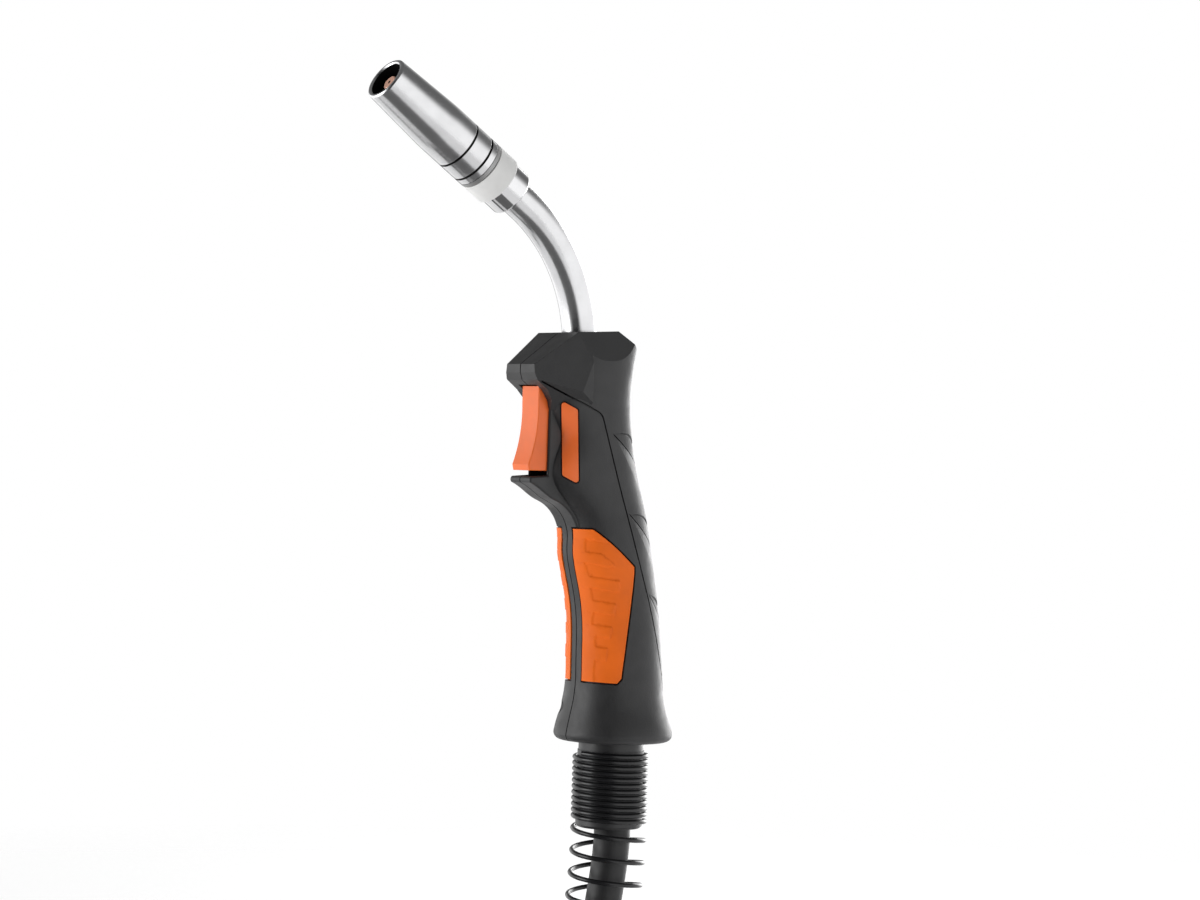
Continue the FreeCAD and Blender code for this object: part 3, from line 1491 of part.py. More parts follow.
for item in document.Objects:
    if "Invalid" in item.State or "Error" in item.State:
        raise ValueError(f"{item.Label} failed: {item.State}")
inside = {
    part for item in document.Objects if item.TypeId in ("Part::Cut", "Part::MultiFuse") for part in item.OutList
}
pieces = [
    item for item in document.Objects
    if (item.TypeId.startswith("Part::") or item.TypeId == "PartDesign::Body") and item not in inside
]
os.makedirs("parts", exist_ok=True)
for item in pieces:
    if item.Shape.isNull() or not item.Shape.isValid():
        raise ValueError(f"{item.Label} has no valid shape")
    print(item.Label, len(item.Shape.Solids), round(item.Shape.Volume, 1))
    item.Shape.exportStep(f"parts/{item.Label}.step")
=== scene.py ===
import math

import bmesh
import bpy
from mathutils import Matrix, Vector


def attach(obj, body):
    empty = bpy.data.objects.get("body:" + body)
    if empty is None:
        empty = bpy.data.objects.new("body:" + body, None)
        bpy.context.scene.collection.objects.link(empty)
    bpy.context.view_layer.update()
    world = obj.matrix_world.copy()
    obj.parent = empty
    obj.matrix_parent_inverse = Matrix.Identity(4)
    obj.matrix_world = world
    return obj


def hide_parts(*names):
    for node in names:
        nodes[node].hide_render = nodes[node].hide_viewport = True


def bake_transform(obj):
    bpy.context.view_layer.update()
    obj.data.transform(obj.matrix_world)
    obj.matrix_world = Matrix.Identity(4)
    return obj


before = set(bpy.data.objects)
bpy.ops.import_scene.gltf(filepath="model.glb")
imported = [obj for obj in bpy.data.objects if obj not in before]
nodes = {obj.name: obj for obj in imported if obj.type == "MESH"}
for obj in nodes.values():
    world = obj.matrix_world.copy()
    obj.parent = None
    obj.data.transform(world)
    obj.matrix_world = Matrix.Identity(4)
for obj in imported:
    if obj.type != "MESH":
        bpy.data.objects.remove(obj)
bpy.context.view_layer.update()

MM = 0.001
FLOOR = -0.25
UP = Vector((0, 0, 1))


# Camera: the photograph is taken from the front left, level with the trigger

def make_camera():
    right = Vector((0.792962, -0.608461, 0.031411))
    up = Vector((-0.024920, 0.019122, 0.999507))
    back = right.cross(up)
    data = bpy.data.cameras.new("camera")
    data.lens = 93.0
    data.sensor_width = 36.0
    data.clip_start = 0.05
    data.clip_end = 60.0
    camera = bpy.data.objects.new("camera", data)
    bpy.context.scene.collection.objects.link(camera)
    camera.matrix_world = Matrix((
        (right.x, up.x, back.x, -0.798145),
        (right.y, up.y, back.y, -1.026176),
        (right.z, up.z, back.z, 0.062667),
        (0, 0, 0, 1),
    ))
    bpy.context.scene.camera = camera


make_camera()


# Mesh helpers

def piece_of(name, mesh, smooth_angle):
    """A piece with its faces turned outwards, smooth except at edges sharper than the angle in degrees."""
    work = bmesh.new()
    work.from_mesh(mesh)
    bmesh.ops.recalc_face_normals(work, faces=work.faces)
    work.to_mesh(mesh)
    work.free()
    mesh.polygons.foreach_set("use_smooth", [True] * len(mesh.polygons))
    mesh.set_sharp_from_angle(angle=math.radians(smooth_angle))
    piece = bpy.data.objects.new(name, mesh)
    bpy.context.scene.collection.objects.link(piece)
    return piece


def piece_from(name, verts, faces, smooth_angle=35):
    mesh = bpy.data.meshes.new(name)
    mesh.from_pydata([tuple(v) for v in verts], [], faces)
    mesh.validate()
    return piece_of(name, mesh, smooth_angle)


# A curved corner has this many steps, and its support points are this many times its size from the corner
CORNER_STEPS = 3
SUPPORT = 1.3


def rounded(corners):
    """A closed profile with small curves at its corners, as (radius, height, finish) points.

    A corner is (radius, height, size of its curve) and, where the finish changes after it, the new finish.
    A support point on either side of each curve keeps the faces beside it flat in their shading.
    """
    profile, finish = [], 0
    for index, corner in enumerate(corners):
        finish = corner[3] if len(corner) > 3 else finish
        here, cut = Vector(corner[:2]), corner[2]
        if cut == 0:
            profile.append((*here, finish))
            continue
        before = (Vector(corners[index - 1][:2]) - here).normalized() * cut
        after = (Vector(corners[(index + 1) % len(corners)][:2]) - here).normalized() * cut
        profile.append((*(here + before * SUPPORT), finish))
        for step in range(CORNER_STEPS + 1):
            t = step / CORNER_STEPS
            point = (here + before) * (1 - t) ** 2 + here * (2 * t * (1 - t)) + (here + after) * t ** 2
            profile.append((*point, finish))
        profile.append((*(here + after * SUPPORT), finish))
    return profile


def lathe(name, corners, place, segments):
    """A closed turned piece from corners in millimetres, set where the matrix places it."""
    profile = rounded(corners)
    verts, faces, finishes = [], [], []
    count = len(profile)
    for index in range(segments):
        angle = 2 * math.pi * index / segments
        for radius, height, _ in profile:
            verts.append(place @ (Vector((radius * math.cos(angle), radius * math.sin(angle), height)) * MM))
    for index in range(segments):
        here, after = index * count, (index + 1) % segments * count
        for step in range(count):
            ahead = (step + 1) % count
            faces.append((here + step, here + ahead, after + ahead, after + step))
            finishes.append(profile[step][2])
    piece = piece_from(name, verts, faces)
    piece.data.polygons.foreach_set("material_index", finishes)
    return piece


# The first ring of a tube starts square to this direction, which no tube here follows
FIRST_RING = Vector((0.31, 1, 0.17))


def rings_along(points, radius, sides):
    """The points of rings along a line, one ring after the other, turned as little as possible."""
    rings = []
    normal = None
    for index, point in enumerate(points):
        ahead = points[min(index + 1, len(points) - 1)]
        behind = points[max(index - 1, 0)]
        along = (ahead - behind).normalized()
        if normal is None:
            normal = along.cross(FIRST_RING).normalized()
        normal = (normal - along * normal.dot(along)).normalized()
        other = along.cross(normal)
        for k in range(sides):
            angle = 2 * math.pi * k / sides
            rings.append(point + normal * (radius * math.cos(angle)) + other * (radius * math.sin(angle)))
    return rings


def band(here, there, sides):
    """The faces between two rings, from the numbers of their first points."""
    return [(here + k, here + (k + 1) % sides, there + (k + 1) % sides, there + k) for k in range(sides)]


def tube_along(name, points, radius, sides):
    """A tube with closed ends."""
    last = (len(points) - 1) * sides
    faces = []
    for start in range(0, last, sides):
        faces += band(start, start + sides, sides)
    faces += [tuple(range(sides)), tuple(range(last, last + sides))]
    return piece_from(name, rings_along(points, radius, sides), faces, 60)


def pipe_along(name, points, radius, bore, sides):
    """A pipe with an open bore."""
    verts = rings_along(points, radius, sides) + rings_along(points, bore, sides)
    last, inside = (len(points) - 1) * sides, len(points) * sides
    faces = []
    for start in range(0, last, sides):
        faces += band(start, start + sides, sides)
        faces += band(inside + start, inside + start + sides, sides)
    for start in (0, last):
        faces += band(start, inside + start, sides)
    return piece_from(name, verts, faces)


def nurbs_line(points):
    """The points of the smooth line whose control points these are."""
    curve = bpy.data.curves.new("line", "CURVE")
    curve.dimensions = "3D"
    spline = curve.splines.new("NURBS")
    spline.points.add(len(points) - 1)
    for corner, point in zip(spline.points, points):
        corner.co = (point.x, point.y, point.z, 1)
    spline.order_u = 3
    spline.use_endpoint_u = True
    spline.resolution_u = 12
    holder = bpy.data.objects.new("line", curve)
    bpy.context.scene.collection.objects.link(holder)
    graph = bpy.context.evaluated_depsgraph_get()
    mesh = bpy.data.meshes.new_from_object(holder.evaluated_get(graph))
    line = [v.co.copy() for v in mesh.vertices]
    bpy.data.objects.remove(holder)
    bpy.data.curves.remove(curve)
    bpy.data.meshes.remove(mesh)
    return line


# Cable: 3 m of power cable, hanging from the handle and wound into a coil of two layers on the floor

CABLE_DIAMETER = 0.0153
CABLE_SIDES = 24
COIL_PITCH = 0.0161
COIL_RADIUS = 0.0998
COIL_TURNS = 5.25
COIL_CORNERS = 8
COIL_CHANGE = 0.25
COIL_X = -0.075
COIL_LOW = FLOOR + CABLE_DIAMETER / 2
TAIL = 0.092


def coil_corner(number):
    """A corner of the coil's line: in from the outer turn on top, down a layer, and out again below."""
    turns = (number + 0.5) / COIL_CORNERS
    from_middle = turns - COIL_TURNS / 2
    inner = COIL_RADIUS - COIL_PITCH * COIL_TURNS / 2
    radius = (inner + COIL_PITCH * abs(from_middle)) / math.cos(math.pi / COIL_CORNERS)
    fall = 0.5 + 0.5 * math.sin(math.pi / 2 * max(-1.0, min(1.0, from_middle / COIL_CHANGE)))
    angle = -math.pi / 2 - 2 * math.pi * turns
    return Vector((
        COIL_X + radius * math.cos(angle),
        COIL_RADIUS + radius * math.sin(angle),
        COIL_LOW + COIL_PITCH * (1 - fall),
    ))


EXIT = Vector((0, 0, -0.066))
INSIDE = [
    Vector((-0.01402, 0, 0.03379)),
    Vector((-0.01195, 0, 0.01692)),
    Vector((0, 0, -0.022)),
    Vector((0, 0, -0.048)),
    EXIT,
]
HANGING = [
    EXIT,
    Vector((0, 0, -0.084)),
    Vector((0.003, 0, -0.100)),
    Vector((-0.004, 0, -0.140)),
    Vector((-0.012, 0, -0.183)),
    Vector((-0.046, 0, COIL_LOW + COIL_PITCH)),
]
TAIL_X = COIL_X - COIL_RADIUS
PLUG_HEIGHT = FLOOR + 0.0225
TAIL_POINTS = [
    Vector((TAIL_X, COIL_RADIUS + 0.3 * TAIL, COIL_LOW)),
    Vector((TAIL_X, COIL_RADIUS + 0.7 * TAIL, PLUG_HEIGHT)),
    Vector((TAIL_X, COIL_RADIUS + TAIL, PLUG_HEIGHT)),
]
ROUTE = HANGING + [coil_corner(number) for number in range(int(COIL_TURNS * COIL_CORNERS))] + TAIL_POINTS


def make_cable():
    line = nurbs_line(ROUTE)
    cable = tube_along("cable", line, CABLE_DIAMETER / 2, CABLE_SIDES)
    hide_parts("cable_lead", "cable_coil")
    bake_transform(cable)
    inner = tube_along("cable_in_handle", nurbs_line(INSIDE), CABLE_DIAMETER / 2, CABLE_SIDES)
    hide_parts("cable_inner", "cable_neck")
    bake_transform(inner)
    length = sum((b - a).length for a, b in zip(line, line[1:]))
    return cable, inner, line, length


cable, cable_in_handle, cable_line, cable_length = make_cable()


# Materials, all made of nodes. Lengths in them are metres on the piece itself.

class Nodes:
    """A node tree under construction. Its values are other nodes' outputs or plain numbers."""

    def __init__(self, tree):
        self.tree = tree

    def node(self, kind, **settings):
        made = self.tree.nodes.new(kind)
        for key, value in settings.items():
            setattr(made, key, value)
        return made

    def feed(self, value, socket):
        if hasattr(value, "is_output"):
            self.tree.links.new(value, socket)
        else:
            socket.default_value = value

    def maths(self, operation, first, second=0.0):
        made = self.node("ShaderNodeMath", operation=operation)
        self.feed(first, made.inputs[0])
        self.feed(second, made.inputs[1])
        return made.outputs["Value"]

    def dot(self, vector, direction):
        made = self.node("ShaderNodeVectorMath", operation="DOT_PRODUCT")
        self.feed(vector, made.inputs[0])
        self.feed(direction, made.inputs[1])
        return made.outputs["Value"]

    def ranged(self, value, low, high, to_low=0.0, to_high=1.0, course="LINEAR"):
        """The value's range stretched to another one, and cut off at its ends."""
        step = self.node("ShaderNodeMapRange", interpolation_type=course)
        self.feed(value, step.inputs["Value"])
        for key, number in zip(("From Min", "From Max", "To Min", "To Max"), (low, high, to_low, to_high)):
            self.feed(number, step.inputs[key])
        return step.outputs["Result"]

    def mixed_colours(self, factor, first, second):
        mix = self.node("ShaderNodeMix", data_type="RGBA")
        self.feed(factor, mix.inputs["Factor"])
        self.feed(first, mix.inputs["A"])
        self.feed(second, mix.inputs["B"])
        return mix.outputs["Result"]

    def mixed_shaders(self, factor, first, second):
        mix = self.node("ShaderNodeMixShader")
        for value, socket in zip((factor, first, second), mix.inputs):
            self.feed(value, socket)
        return mix.outputs["Shader"]


# Steps down the spine in the side view: corner in millimetres, fall of the line and of the crease below it
SPINE_STEPS = [
    ((-17.0, 69.1), 0.76, 1.3), ((-7.6, 36.2), 0.84, 1.37), ((3.6, 3.0), 1.06, 1.7),
]
FACET_TILT = 0.22
# Where a drawn line starts and ends to fade, from its middle, how deep it is sunk, and how dark its painted
# shade is
STEP_LINE = 0.00012, 0.0003
SEAM_LINE = 0.00014, 0.00032
LINE_DEPTH = 0.0002
PAINTED_LINE_SHADE = 0.12


class Finish(Nodes):
    """A material under construction: its shader and the position that its textures read."""

    def __init__(self, name, colour, roughness, metallic=0.0):
        self.material = bpy.data.materials.new(name)
        self.material.use_nodes = True
        super().__init__(self.material.node_tree)
        self.shader = self.tree.nodes["Principled BSDF"]
        self.colour = colour
        self.give("Base Color", (*colour, 1))
        self.give("Roughness", roughness)
        self.give("Metallic", metallic)
        self.place = self.node("ShaderNodeTexCoord").outputs["Object"]
        self.normal = None

    def give(self, socket, value):
        self.feed(value, self.shader.inputs[socket])

    def stretched(self, scale, turn):
        """The place to read where marks are to run along or round a turned axis."""
        mapping = self.node("ShaderNodeMapping")
        self.feed(scale, mapping.inputs["Scale"])
        self.feed(turn, mapping.inputs["Rotation"])
        self.feed(self.place, mapping.inputs["Vector"])
        return mapping.outputs["Vector"]

    def noise(self, size, detail=3.0, place=None):
        """Noise whose features are about this many metres across."""
        texture = self.node("ShaderNodeTexNoise")
        self.feed(1.0 / size, texture.inputs["Scale"])
        self.feed(detail, texture.inputs["Detail"])
        self.feed(place or self.place, texture.inputs["Vector"])
        return texture.outputs["Fac"]

    def cells(self, size):
        """Cells about this many metres across."""
        texture = self.node("ShaderNodeTexVoronoi")
        self.feed(1.0 / size, texture.inputs["Scale"])
        self.feed(self.place, texture.inputs["Vector"])
        return texture.outputs["Distance"]

    def soft_edges(self, radius):
        """Lets edges catch the light as if they were rounded."""
        soft = self.node("ShaderNodeBevel", samples=6)
        self.feed(radius, soft.inputs["Radius"])
        self.normal = soft.outputs["Normal"]
        self.give("Normal", self.normal)

    def bump(self, value, depth):
        bump = self.node("ShaderNodeBump")
        self.feed(depth, bump.inputs["Distance"])
        self.feed(value, bump.inputs["Height"])
        if self.normal is not None:
            self.feed(self.normal, bump.inputs["Normal"])
        self.normal = bump.outputs["Normal"]
        self.give("Normal", self.normal)

    def blotches(self, value, other):
        """Mixes another colour in where the value is high, and says what comes out."""
        blend = self.mixed_colours(self.ranged(value, 0.35, 0.65), (*self.colour, 1), (*other, 1))
        self.give("Base Color", blend)
        return blend

    def uneven(self, value, low, high):
        """Lets the roughness vary between two values."""
        self.give("Roughness", self.ranged(value, 0.3, 0.7, low, high))

    def middle_line(self):
        """0 on the plane of symmetry, 1 beside it."""
        parts = self.node("ShaderNodeSeparateXYZ")
        self.feed(self.place, parts.inputs["Vector"])
        return self.ranged(self.maths("ABSOLUTE", parts.outputs["Y"]), *SEAM_LINE)

    def slanted(self, corner, slope):
        """How far a point is above a line through a corner in the side view, in metres."""
        way = Vector((slope, 0, 1)) / math.hypot(slope, 1)
        return self.maths("ADD", self.dot(self.place, way), -way.dot(Vector((corner[0], 0, corner[1])) * MM))

    def spine_steps(self):
        """The steps' lines down the spine (0 on them), and how deep the facets below them sink."""
        lines, sinks = 1.0, 0.0
        for corner, edge_slope, crease_slope in SPINE_STEPS:
            edge, crease = self.slanted(corner, edge_slope), self.slanted(corner, crease_slope)
            beyond = self.maths("GREATER_THAN", crease)
            inside = self.maths("MULTIPLY", self.maths("LESS_THAN", edge), beyond)
            sinks = self.maths("ADD", sinks, self.maths("MULTIPLY", crease, inside))
            near = self.ranged(self.maths("ABSOLUTE", edge), *STEP_LINE)
            gone = self.maths("SUBTRACT", 1.0, beyond)
            lines = self.maths("MINIMUM", lines, self.maths("MAXIMUM", near, gone))
        return lines, sinks

    def paint_shade_lines(self, toned, gloss):
        """Draws the housing's middle seam and spine steps: sunk, with painted shade that darkens them and
        takes their gloss away.
        """
        steps, sinks = self.spine_steps()
        self.bump(sinks, -FACET_TILT)
        line = self.maths("MINIMUM", self.middle_line(), steps)
        self.bump(line, LINE_DEPTH)
        # Painted shade on the lines: gloss taken away and colour darkened, standing in for the shade inside
        # the seam and under each step
        self.give("Specular IOR Level", self.ranged(line, 0, 1, 0, gloss))
        dark = (*(c * PAINTED_LINE_SHADE for c in self.colour), 1)
        self.give("Base Color", self.mixed_colours(line, dark, toned))


def moulded(name, colour, roughness, grain=0.00035, depth=0.00003, gloss=0.5, edge=0.0002, seam=False):
    """Moulded plastic or rubber: fine grain, a little wander in gloss and tone, and rounded edges; with seam,
    painted shade along the housing's middle seam and spine steps.
    """
    finish = Finish(name, colour, roughness)
    finish.give("Specular IOR Level", gloss)
    finish.soft_edges(edge)
    toned = finish.blotches(finish.noise(0.012), tuple(c * 1.10 + 0.001 for c in colour))
    finish.uneven(finish.noise(0.006, 5), roughness - 0.06, roughness + 0.06)
    finish.bump(finish.noise(grain, 2), depth)
    finish.bump(finish.cells(grain * 1.8), depth * 0.6)
    if seam:
        finish.paint_shade_lines(toned, gloss)
    return finish.material


def turned_metal(name, colour, low, high, axis_turn, lines=0.0004, depth=0.0000006, tint=None, metallic=1.0):
    """Turned metal: faint marks round its axis, and a patchy satin."""
    finish = Finish(name, colour, (low + high) / 2, metallic)
    finish.soft_edges(0.0001)
    along = finish.stretched((0.03, 0.03, 1.0), axis_turn)
    finish.blotches(finish.noise(0.009, 4), tint or tuple(c * 0.93 for c in colour))
    finish.uneven(finish.noise(lines, 4, along), low, high)
    finish.bump(finish.noise(lines, 3, along), depth)
    finish.bump(finish.noise(0.004, 3), depth * 6)
    return finish.material


NOZZLE_TILT = math.radians(57)
NOZZLE_TURN = (0, NOZZLE_TILT, 0)
ALONG_Y = (math.radians(90), 0, 0)

MATERIALS = {
    # The housing's middle seam and spine steps carry painted shade
    "housing": moulded("charcoal_plastic", (0.021, 0.021, 0.022), 0.47, seam=True),
    "grip_rubber": moulded("orange_rubber", (0.90, 0.155, 0.004), 0.58, 0.0005, 0.00002, 0.3, 0.0004),
    "orange_plastic": moulded("orange_plastic", (0.90, 0.165, 0.028), 0.42, 0.0004, 0.000012, edge=0.0003),
    "satin_steel": turned_metal("satin_steel", (0.70, 0.70, 0.71), 0.17, 0.24, NOZZLE_TURN),
    "bright_steel": turned_metal("bright_steel", (0.74, 0.74, 0.75), 0.08, 0.13, NOZZLE_TURN),
    "white_insulator": moulded("white_insulator", (0.77, 0.77, 0.76), 0.5, 0.0004, 0.00001),
    "brass": turned_metal("brass", (0.78, 0.56, 0.24), 0.18, 0.3, ALONG_Y, tint=(0.6, 0.4, 0.16)),
    "copper": turned_metal(
        "copper", (0.96, 0.56, 0.42), 0.3, 0.45, NOZZLE_TURN, tint=(0.9, 0.48, 0.34), metallic=0.4),
    "spring_black": moulded("black_lacquered_wire", (0.008, 0.008, 0.009), 0.22, 0.0006, 0.000004),
    "black_plastic": moulded("black_plastic", (0.020, 0.020, 0.021), 0.42, 0.0004, 0.00001),
    "cable_rubber": moulded("cable_rubber", (0.017, 0.017, 0.018), 0.5, 0.0006, 0.00002),
    "liner_plastic": moulded("liner_plastic", (0.55, 0.12, 0.06), 0.45, 0.0006, 0.00001),
    "fastener_steel": turned_metal("fastener_steel", (0.5, 0.5, 0.52), 0.25, 0.4, ALONG_Y),
    "switch_red": moulded("switch_red", (0.5, 0.02, 0.02), 0.4, 0.0004, 0.00001),
}
# Painted shade: near-black colour inside the nozzle's bore and the contact tip's wire hole, where shade falls
BORE_PAINTED_SHADE = moulded("bore_painted_shade", (0.004, 0.004, 0.004), 0.8, 0.0005, 0.00002, 0.05)
# Painted shade: dark colour on the walls and floors of the nozzle's grooves, where shade falls
GROOVE_PAINTED_SHADE = turned_metal("groove_painted_shade", (0.03, 0.03, 0.03), 0.35, 0.5, NOZZLE_TURN)
# Painted shade: darkened copper on the contact tip's sides, which sit inside the nozzle's bore
TIP_PAINTED_SHADE = turned_metal("copper_painted_shade", (0.10, 0.055, 0.04), 0.45, 0.6, NOZZLE_TURN)
KNURLED = turned_metal("knurled_band", (0.42, 0.42, 0.42), 0.5, 0.62, NOZZLE_TURN, 0.0003, 0.00002)


def paint(piece, slot):
    piece.data.materials.clear()
    piece.data.materials.append(MATERIALS[slot])


paint(cable, "cable_rubber")
paint(cable_in_handle, "cable_rubber")

NODE_SLOTS = {
    "left_shell": "housing", "right_shell": "housing", "left_cover": "housing", "right_cover": "housing",
    "left_grip_pad": "grip_rubber", "right_grip_pad": "grip_rubber",
    "left_side_plate": "orange_plastic", "right_side_plate": "orange_plastic",
    "housing_screws": "fastener_steel", "trigger": "orange_plastic", "trigger_pin": "fastener_steel",
    "microswitch": "black_plastic", "switch_plunger": "switch_red", "switch_leads": "liner_plastic",
    "gas_nozzle": "satin_steel", "insulator_ring": "white_insulator", "neck_collar": "bright_steel",
    "gas_diffuser": "brass", "contact_tip": "copper", "nozzle_spring": "fastener_steel",
    "swan_neck": "satin_steel", "inner_conduit": "liner_plastic", "wire_liner": "black_plastic",
    "neck_coupling": "brass", "cable_support": "black_plastic", "support_spring": "spring_black",
    "plug_boot": "cable_rubber", "plug_housing": "black_plastic", "plug_block": "brass",
    "power_tube": "brass", "plug_o_ring": "cable_rubber", "liner_nut": "brass",
    "plug_nut": "black_plastic", "contact_pin_left": "brass", "contact_pin_right": "brass",
    "cable_inner": "cable_rubber", "cable_neck": "cable_rubber", "cable_lead": "cable_rubber",
    "cable_coil": "cable_rubber",
}
for name, slot in NODE_SLOTS.items():
    if not nodes[name].data.materials:
        nodes[name].data.materials.append(None)
    for index in range(len(nodes[name].material_slots)):
        nodes[name].material_slots[index].material = MATERIALS[slot]


def stand_in(piece, node, slot, body="handle", others=()):
    """Gives the piece its finishes and puts it in the node's place on its body."""
    finishes = [face.material_index for face in piece.data.polygons]
    piece.data.materials.clear()
    for material in (MATERIALS[slot], *others):
        piece.data.materials.append(material)
    piece.data.polygons.foreach_set("material_index", finishes)
    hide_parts(node)
    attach(piece, body)


# Nozzle, insulator, collar, contact tip and neck: fine turned surfaces in place of the frame's facets

# The neck leaves the head here, straight for a short way, and then bends forward. All in millimetres.
NECK_FOOT = (-23.5, 0, 111.2)
NECK_TILT = math.radians(7)
NECK_RADIUS = 7.25
NECK_BORE = 5.75
BEND = math.radians(50)
BEND_START = 1
BEND_RADIUS = 70
BEND_STEPS = 40
# Where the pieces start, from the end of the bend
COLLAR_START = 6.0
INSULATOR_START = 15.0
NOZZLE_START = 24.8
TIP_START = 50.8


def bend_point(angle):
    return Vector((-BEND_RADIUS * (1 - math.cos(angle)), 0, BEND_START + BEND_RADIUS * math.sin(angle)))


NECK_PLACE = Matrix.Translation(Vector(NECK_FOOT) * MM) @ Matrix.Rotation(-NECK_TILT, 4, "Y")
NOZZLE_WAY = Matrix.Rotation(-NOZZLE_TILT, 4, "Y")
BEND_END = NECK_PLACE @ (bend_point(BEND) * MM)


def on_nozzle_line(distance):
    return Matrix.Translation(BEND_END + NOZZLE_WAY @ UP * distance * MM) @ NOZZLE_WAY


nozzle = lathe("nozzle", [
    (8.5, 0, 0.2), (10.45, 0, 0.15, 2), (11, 0.55, 0.15),
    (11, 2.1, 0.05, 1), (10.85, 2.2, 0), (11, 2.3, 0.05, 0),
    (11, 5, 0.08, 1), (10.45, 5, 0), (10.45, 5.9, 0), (11, 5.9, 0.08, 0),
    (11, 14, 0.08, 1), (10.45, 14, 0), (10.45, 14.9, 0), (11, 14.9, 0.08, 0),
    (11, 26, 2.5), (9.5, 56.4, 0.2), (8.9, 57, 0.1), (8.1, 57, 0.1), (7.5, 56.4, 0.1, 3),
    (7.5, 33, 0.5), (8.5, 29, 0.5),
], on_nozzle_line(NOZZLE_START), 128)
# The nozzle's groove walls and floors carry painted shade, and so does its bore
stand_in(nozzle, "gas_nozzle", "satin_steel", "nozzle", (GROOVE_PAINTED_SHADE, KNURLED, BORE_PAINTED_SHADE))
insulator = lathe("insulator", [
    (7.25, 0, 0.2), (11, 0, 0.35), (11, 9.8, 0.25), (8.45, 9.8, 0), (8.45, 16.65, 0), (7.15, 16.65, 0),
    (7.15, 17.95, 0), (8.45, 17.95, 0), (8.45, 24, 0.1), (7.65, 24.8, 0.1), (6.5, 24.8, 0), (6.5, 9.8, 0),
    (7.25, 9.8, 0),
], on_nozzle_line(INSULATOR_START), 96)
stand_in(insulator, "insulator_ring", "white_insulator")
collar = lathe("collar", [
    (7.25, 0, 0.1), (9.2, 0, 0.1), (10, 0.8, 0.2), (10, 9, 0.15), (7.25, 9, 0.1),
], on_nozzle_line(COLLAR_START), 128)
stand_in(collar, "neck_collar", "bright_steel")
tip = lathe("tip", [
    (0.65, -8, 0), (3, -8, 0), (3, 0, 0), (4, 0, 0.2, 2), (4, 22.5, 0.6), (3.15, 28.1, 0.1, 0),
    (2.8, 28.5, 0.1), (0.65, 28.5, 0.05, 1),
], on_nozzle_line(TIP_START), 64)
# The tip's wire hole and its sides inside the nozzle carry painted shade
stand_in(tip, "contact_tip", "copper", others=(BORE_PAINTED_SHADE, TIP_PAINTED_SHADE))


def neck_points():
    line = [Vector((0, 0, height)) for height in (-50, -25, 0)]
    line += [bend_point(BEND * step / BEND_STEPS) for step in range(BEND_STEPS + 1)]
    end, way = line[-1], Vector((-math.sin(BEND), 0, math.cos(BEND)))
    line += [end + way * 8, end + way * NOZZLE_START]
    return [NECK_PLACE @ (point * MM) for point in line]


neck = pipe_along("neck", neck_points(), NECK_RADIUS * MM, NECK_BORE * MM, 64)
stand_in(neck, "swan_neck", "satin_steel")


# Grip pads: a comb of raised blocks on the near pad's face, and the same mirrored on the other side

# The line behind the comb's back, from top to bottom, and its teeth: (x, z) in millimetres in the side view
COMB_BACK = [
    (-24.3, 45), (-24.3, 26), (-24.2, 20.5), (-24, 16.2), (-22.2, 11.4), (-20.7, 5.7),
    (-19.6, 1.1), (-18.8, -4.3), (-18.8, -9.6), (-17.8, -14.2), (-17.8, -45),
]
COMB_TEETH = [
    [(-24.8, 45), (-17, 45), (-17.8, 24.8), (-24.8, 26.1)],
    [(-24.7, 20.5), (-19.6, 19.9), (-14.1, 15.2), (-14.4, 14.4), (-24.5, 16.3)],
    [(-22.5, 10.5), (-11.7, 8.7), (-11.9, 4.3), (-21.2, 5.8)],
    [(-20.1, 0.5), (-12.6, -0.8), (-12.9, -5.5), (-19.3, -4.2)],
    [(-19.3, -9.5), (-13.5, -10.4), (-13.9, -14.9), (-18.3, -14.1)],
    [(-18.3, -18.5), (-14.6, -19.2), (-15, -24.4), (-18.3, -24.1)],
]
COMB_FRONT = -60
# Depth between the blocks, half the width of their slopes, and how far a cut runs past its edge
COMB_DEPTH = 0.35
COMB_RAMP = 0.13
COMB_MARGIN = 0.3
# The pads' faces look away from the line along the handle at this x, in metres
HANDLE_MIDDLE = -0.004


def signed_distance(point, corners):
    """How far a point is outside a convex outline with its corners clockwise; negative inside."""
    worst = -1e9
    for index, corner in enumerate(corners):
        here, there = Vector(corner), Vector(corners[(index + 1) % len(corners)])
        along = (there - here).normalized()
        worst = max(worst, (point - here).dot(Vector((-along.y, along.x))))
    return worst


def comb_blocks():
    strips = []
    for high, low in zip(COMB_BACK, COMB_BACK[1:]):
        strips.append([(COMB_FRONT, high[1]), high, low, (COMB_FRONT, low[1])])
    return strips + COMB_TEETH


def comb_edges():
    """The drawn edges, without the ones where two blocks meet."""
    edges = list(zip(COMB_BACK, COMB_BACK[1:]))
    for tooth in COMB_TEETH:
        edges += list(zip(tooth, tooth[1:]))
    return edges


def off_middle(point):
    """The way from the handle's middle line to a point."""
    return Vector((point.x - HANDLE_MIDDLE, point.y, 0)).normalized()


def outside(face):
    """Whether a face looks away from the handle's middle line, within 60 degrees."""
    return face.normal.dot(off_middle(face.calc_center_median())) > 0.5


def side_view(vert):
    return Vector((vert.co.x, vert.co.z)) / MM


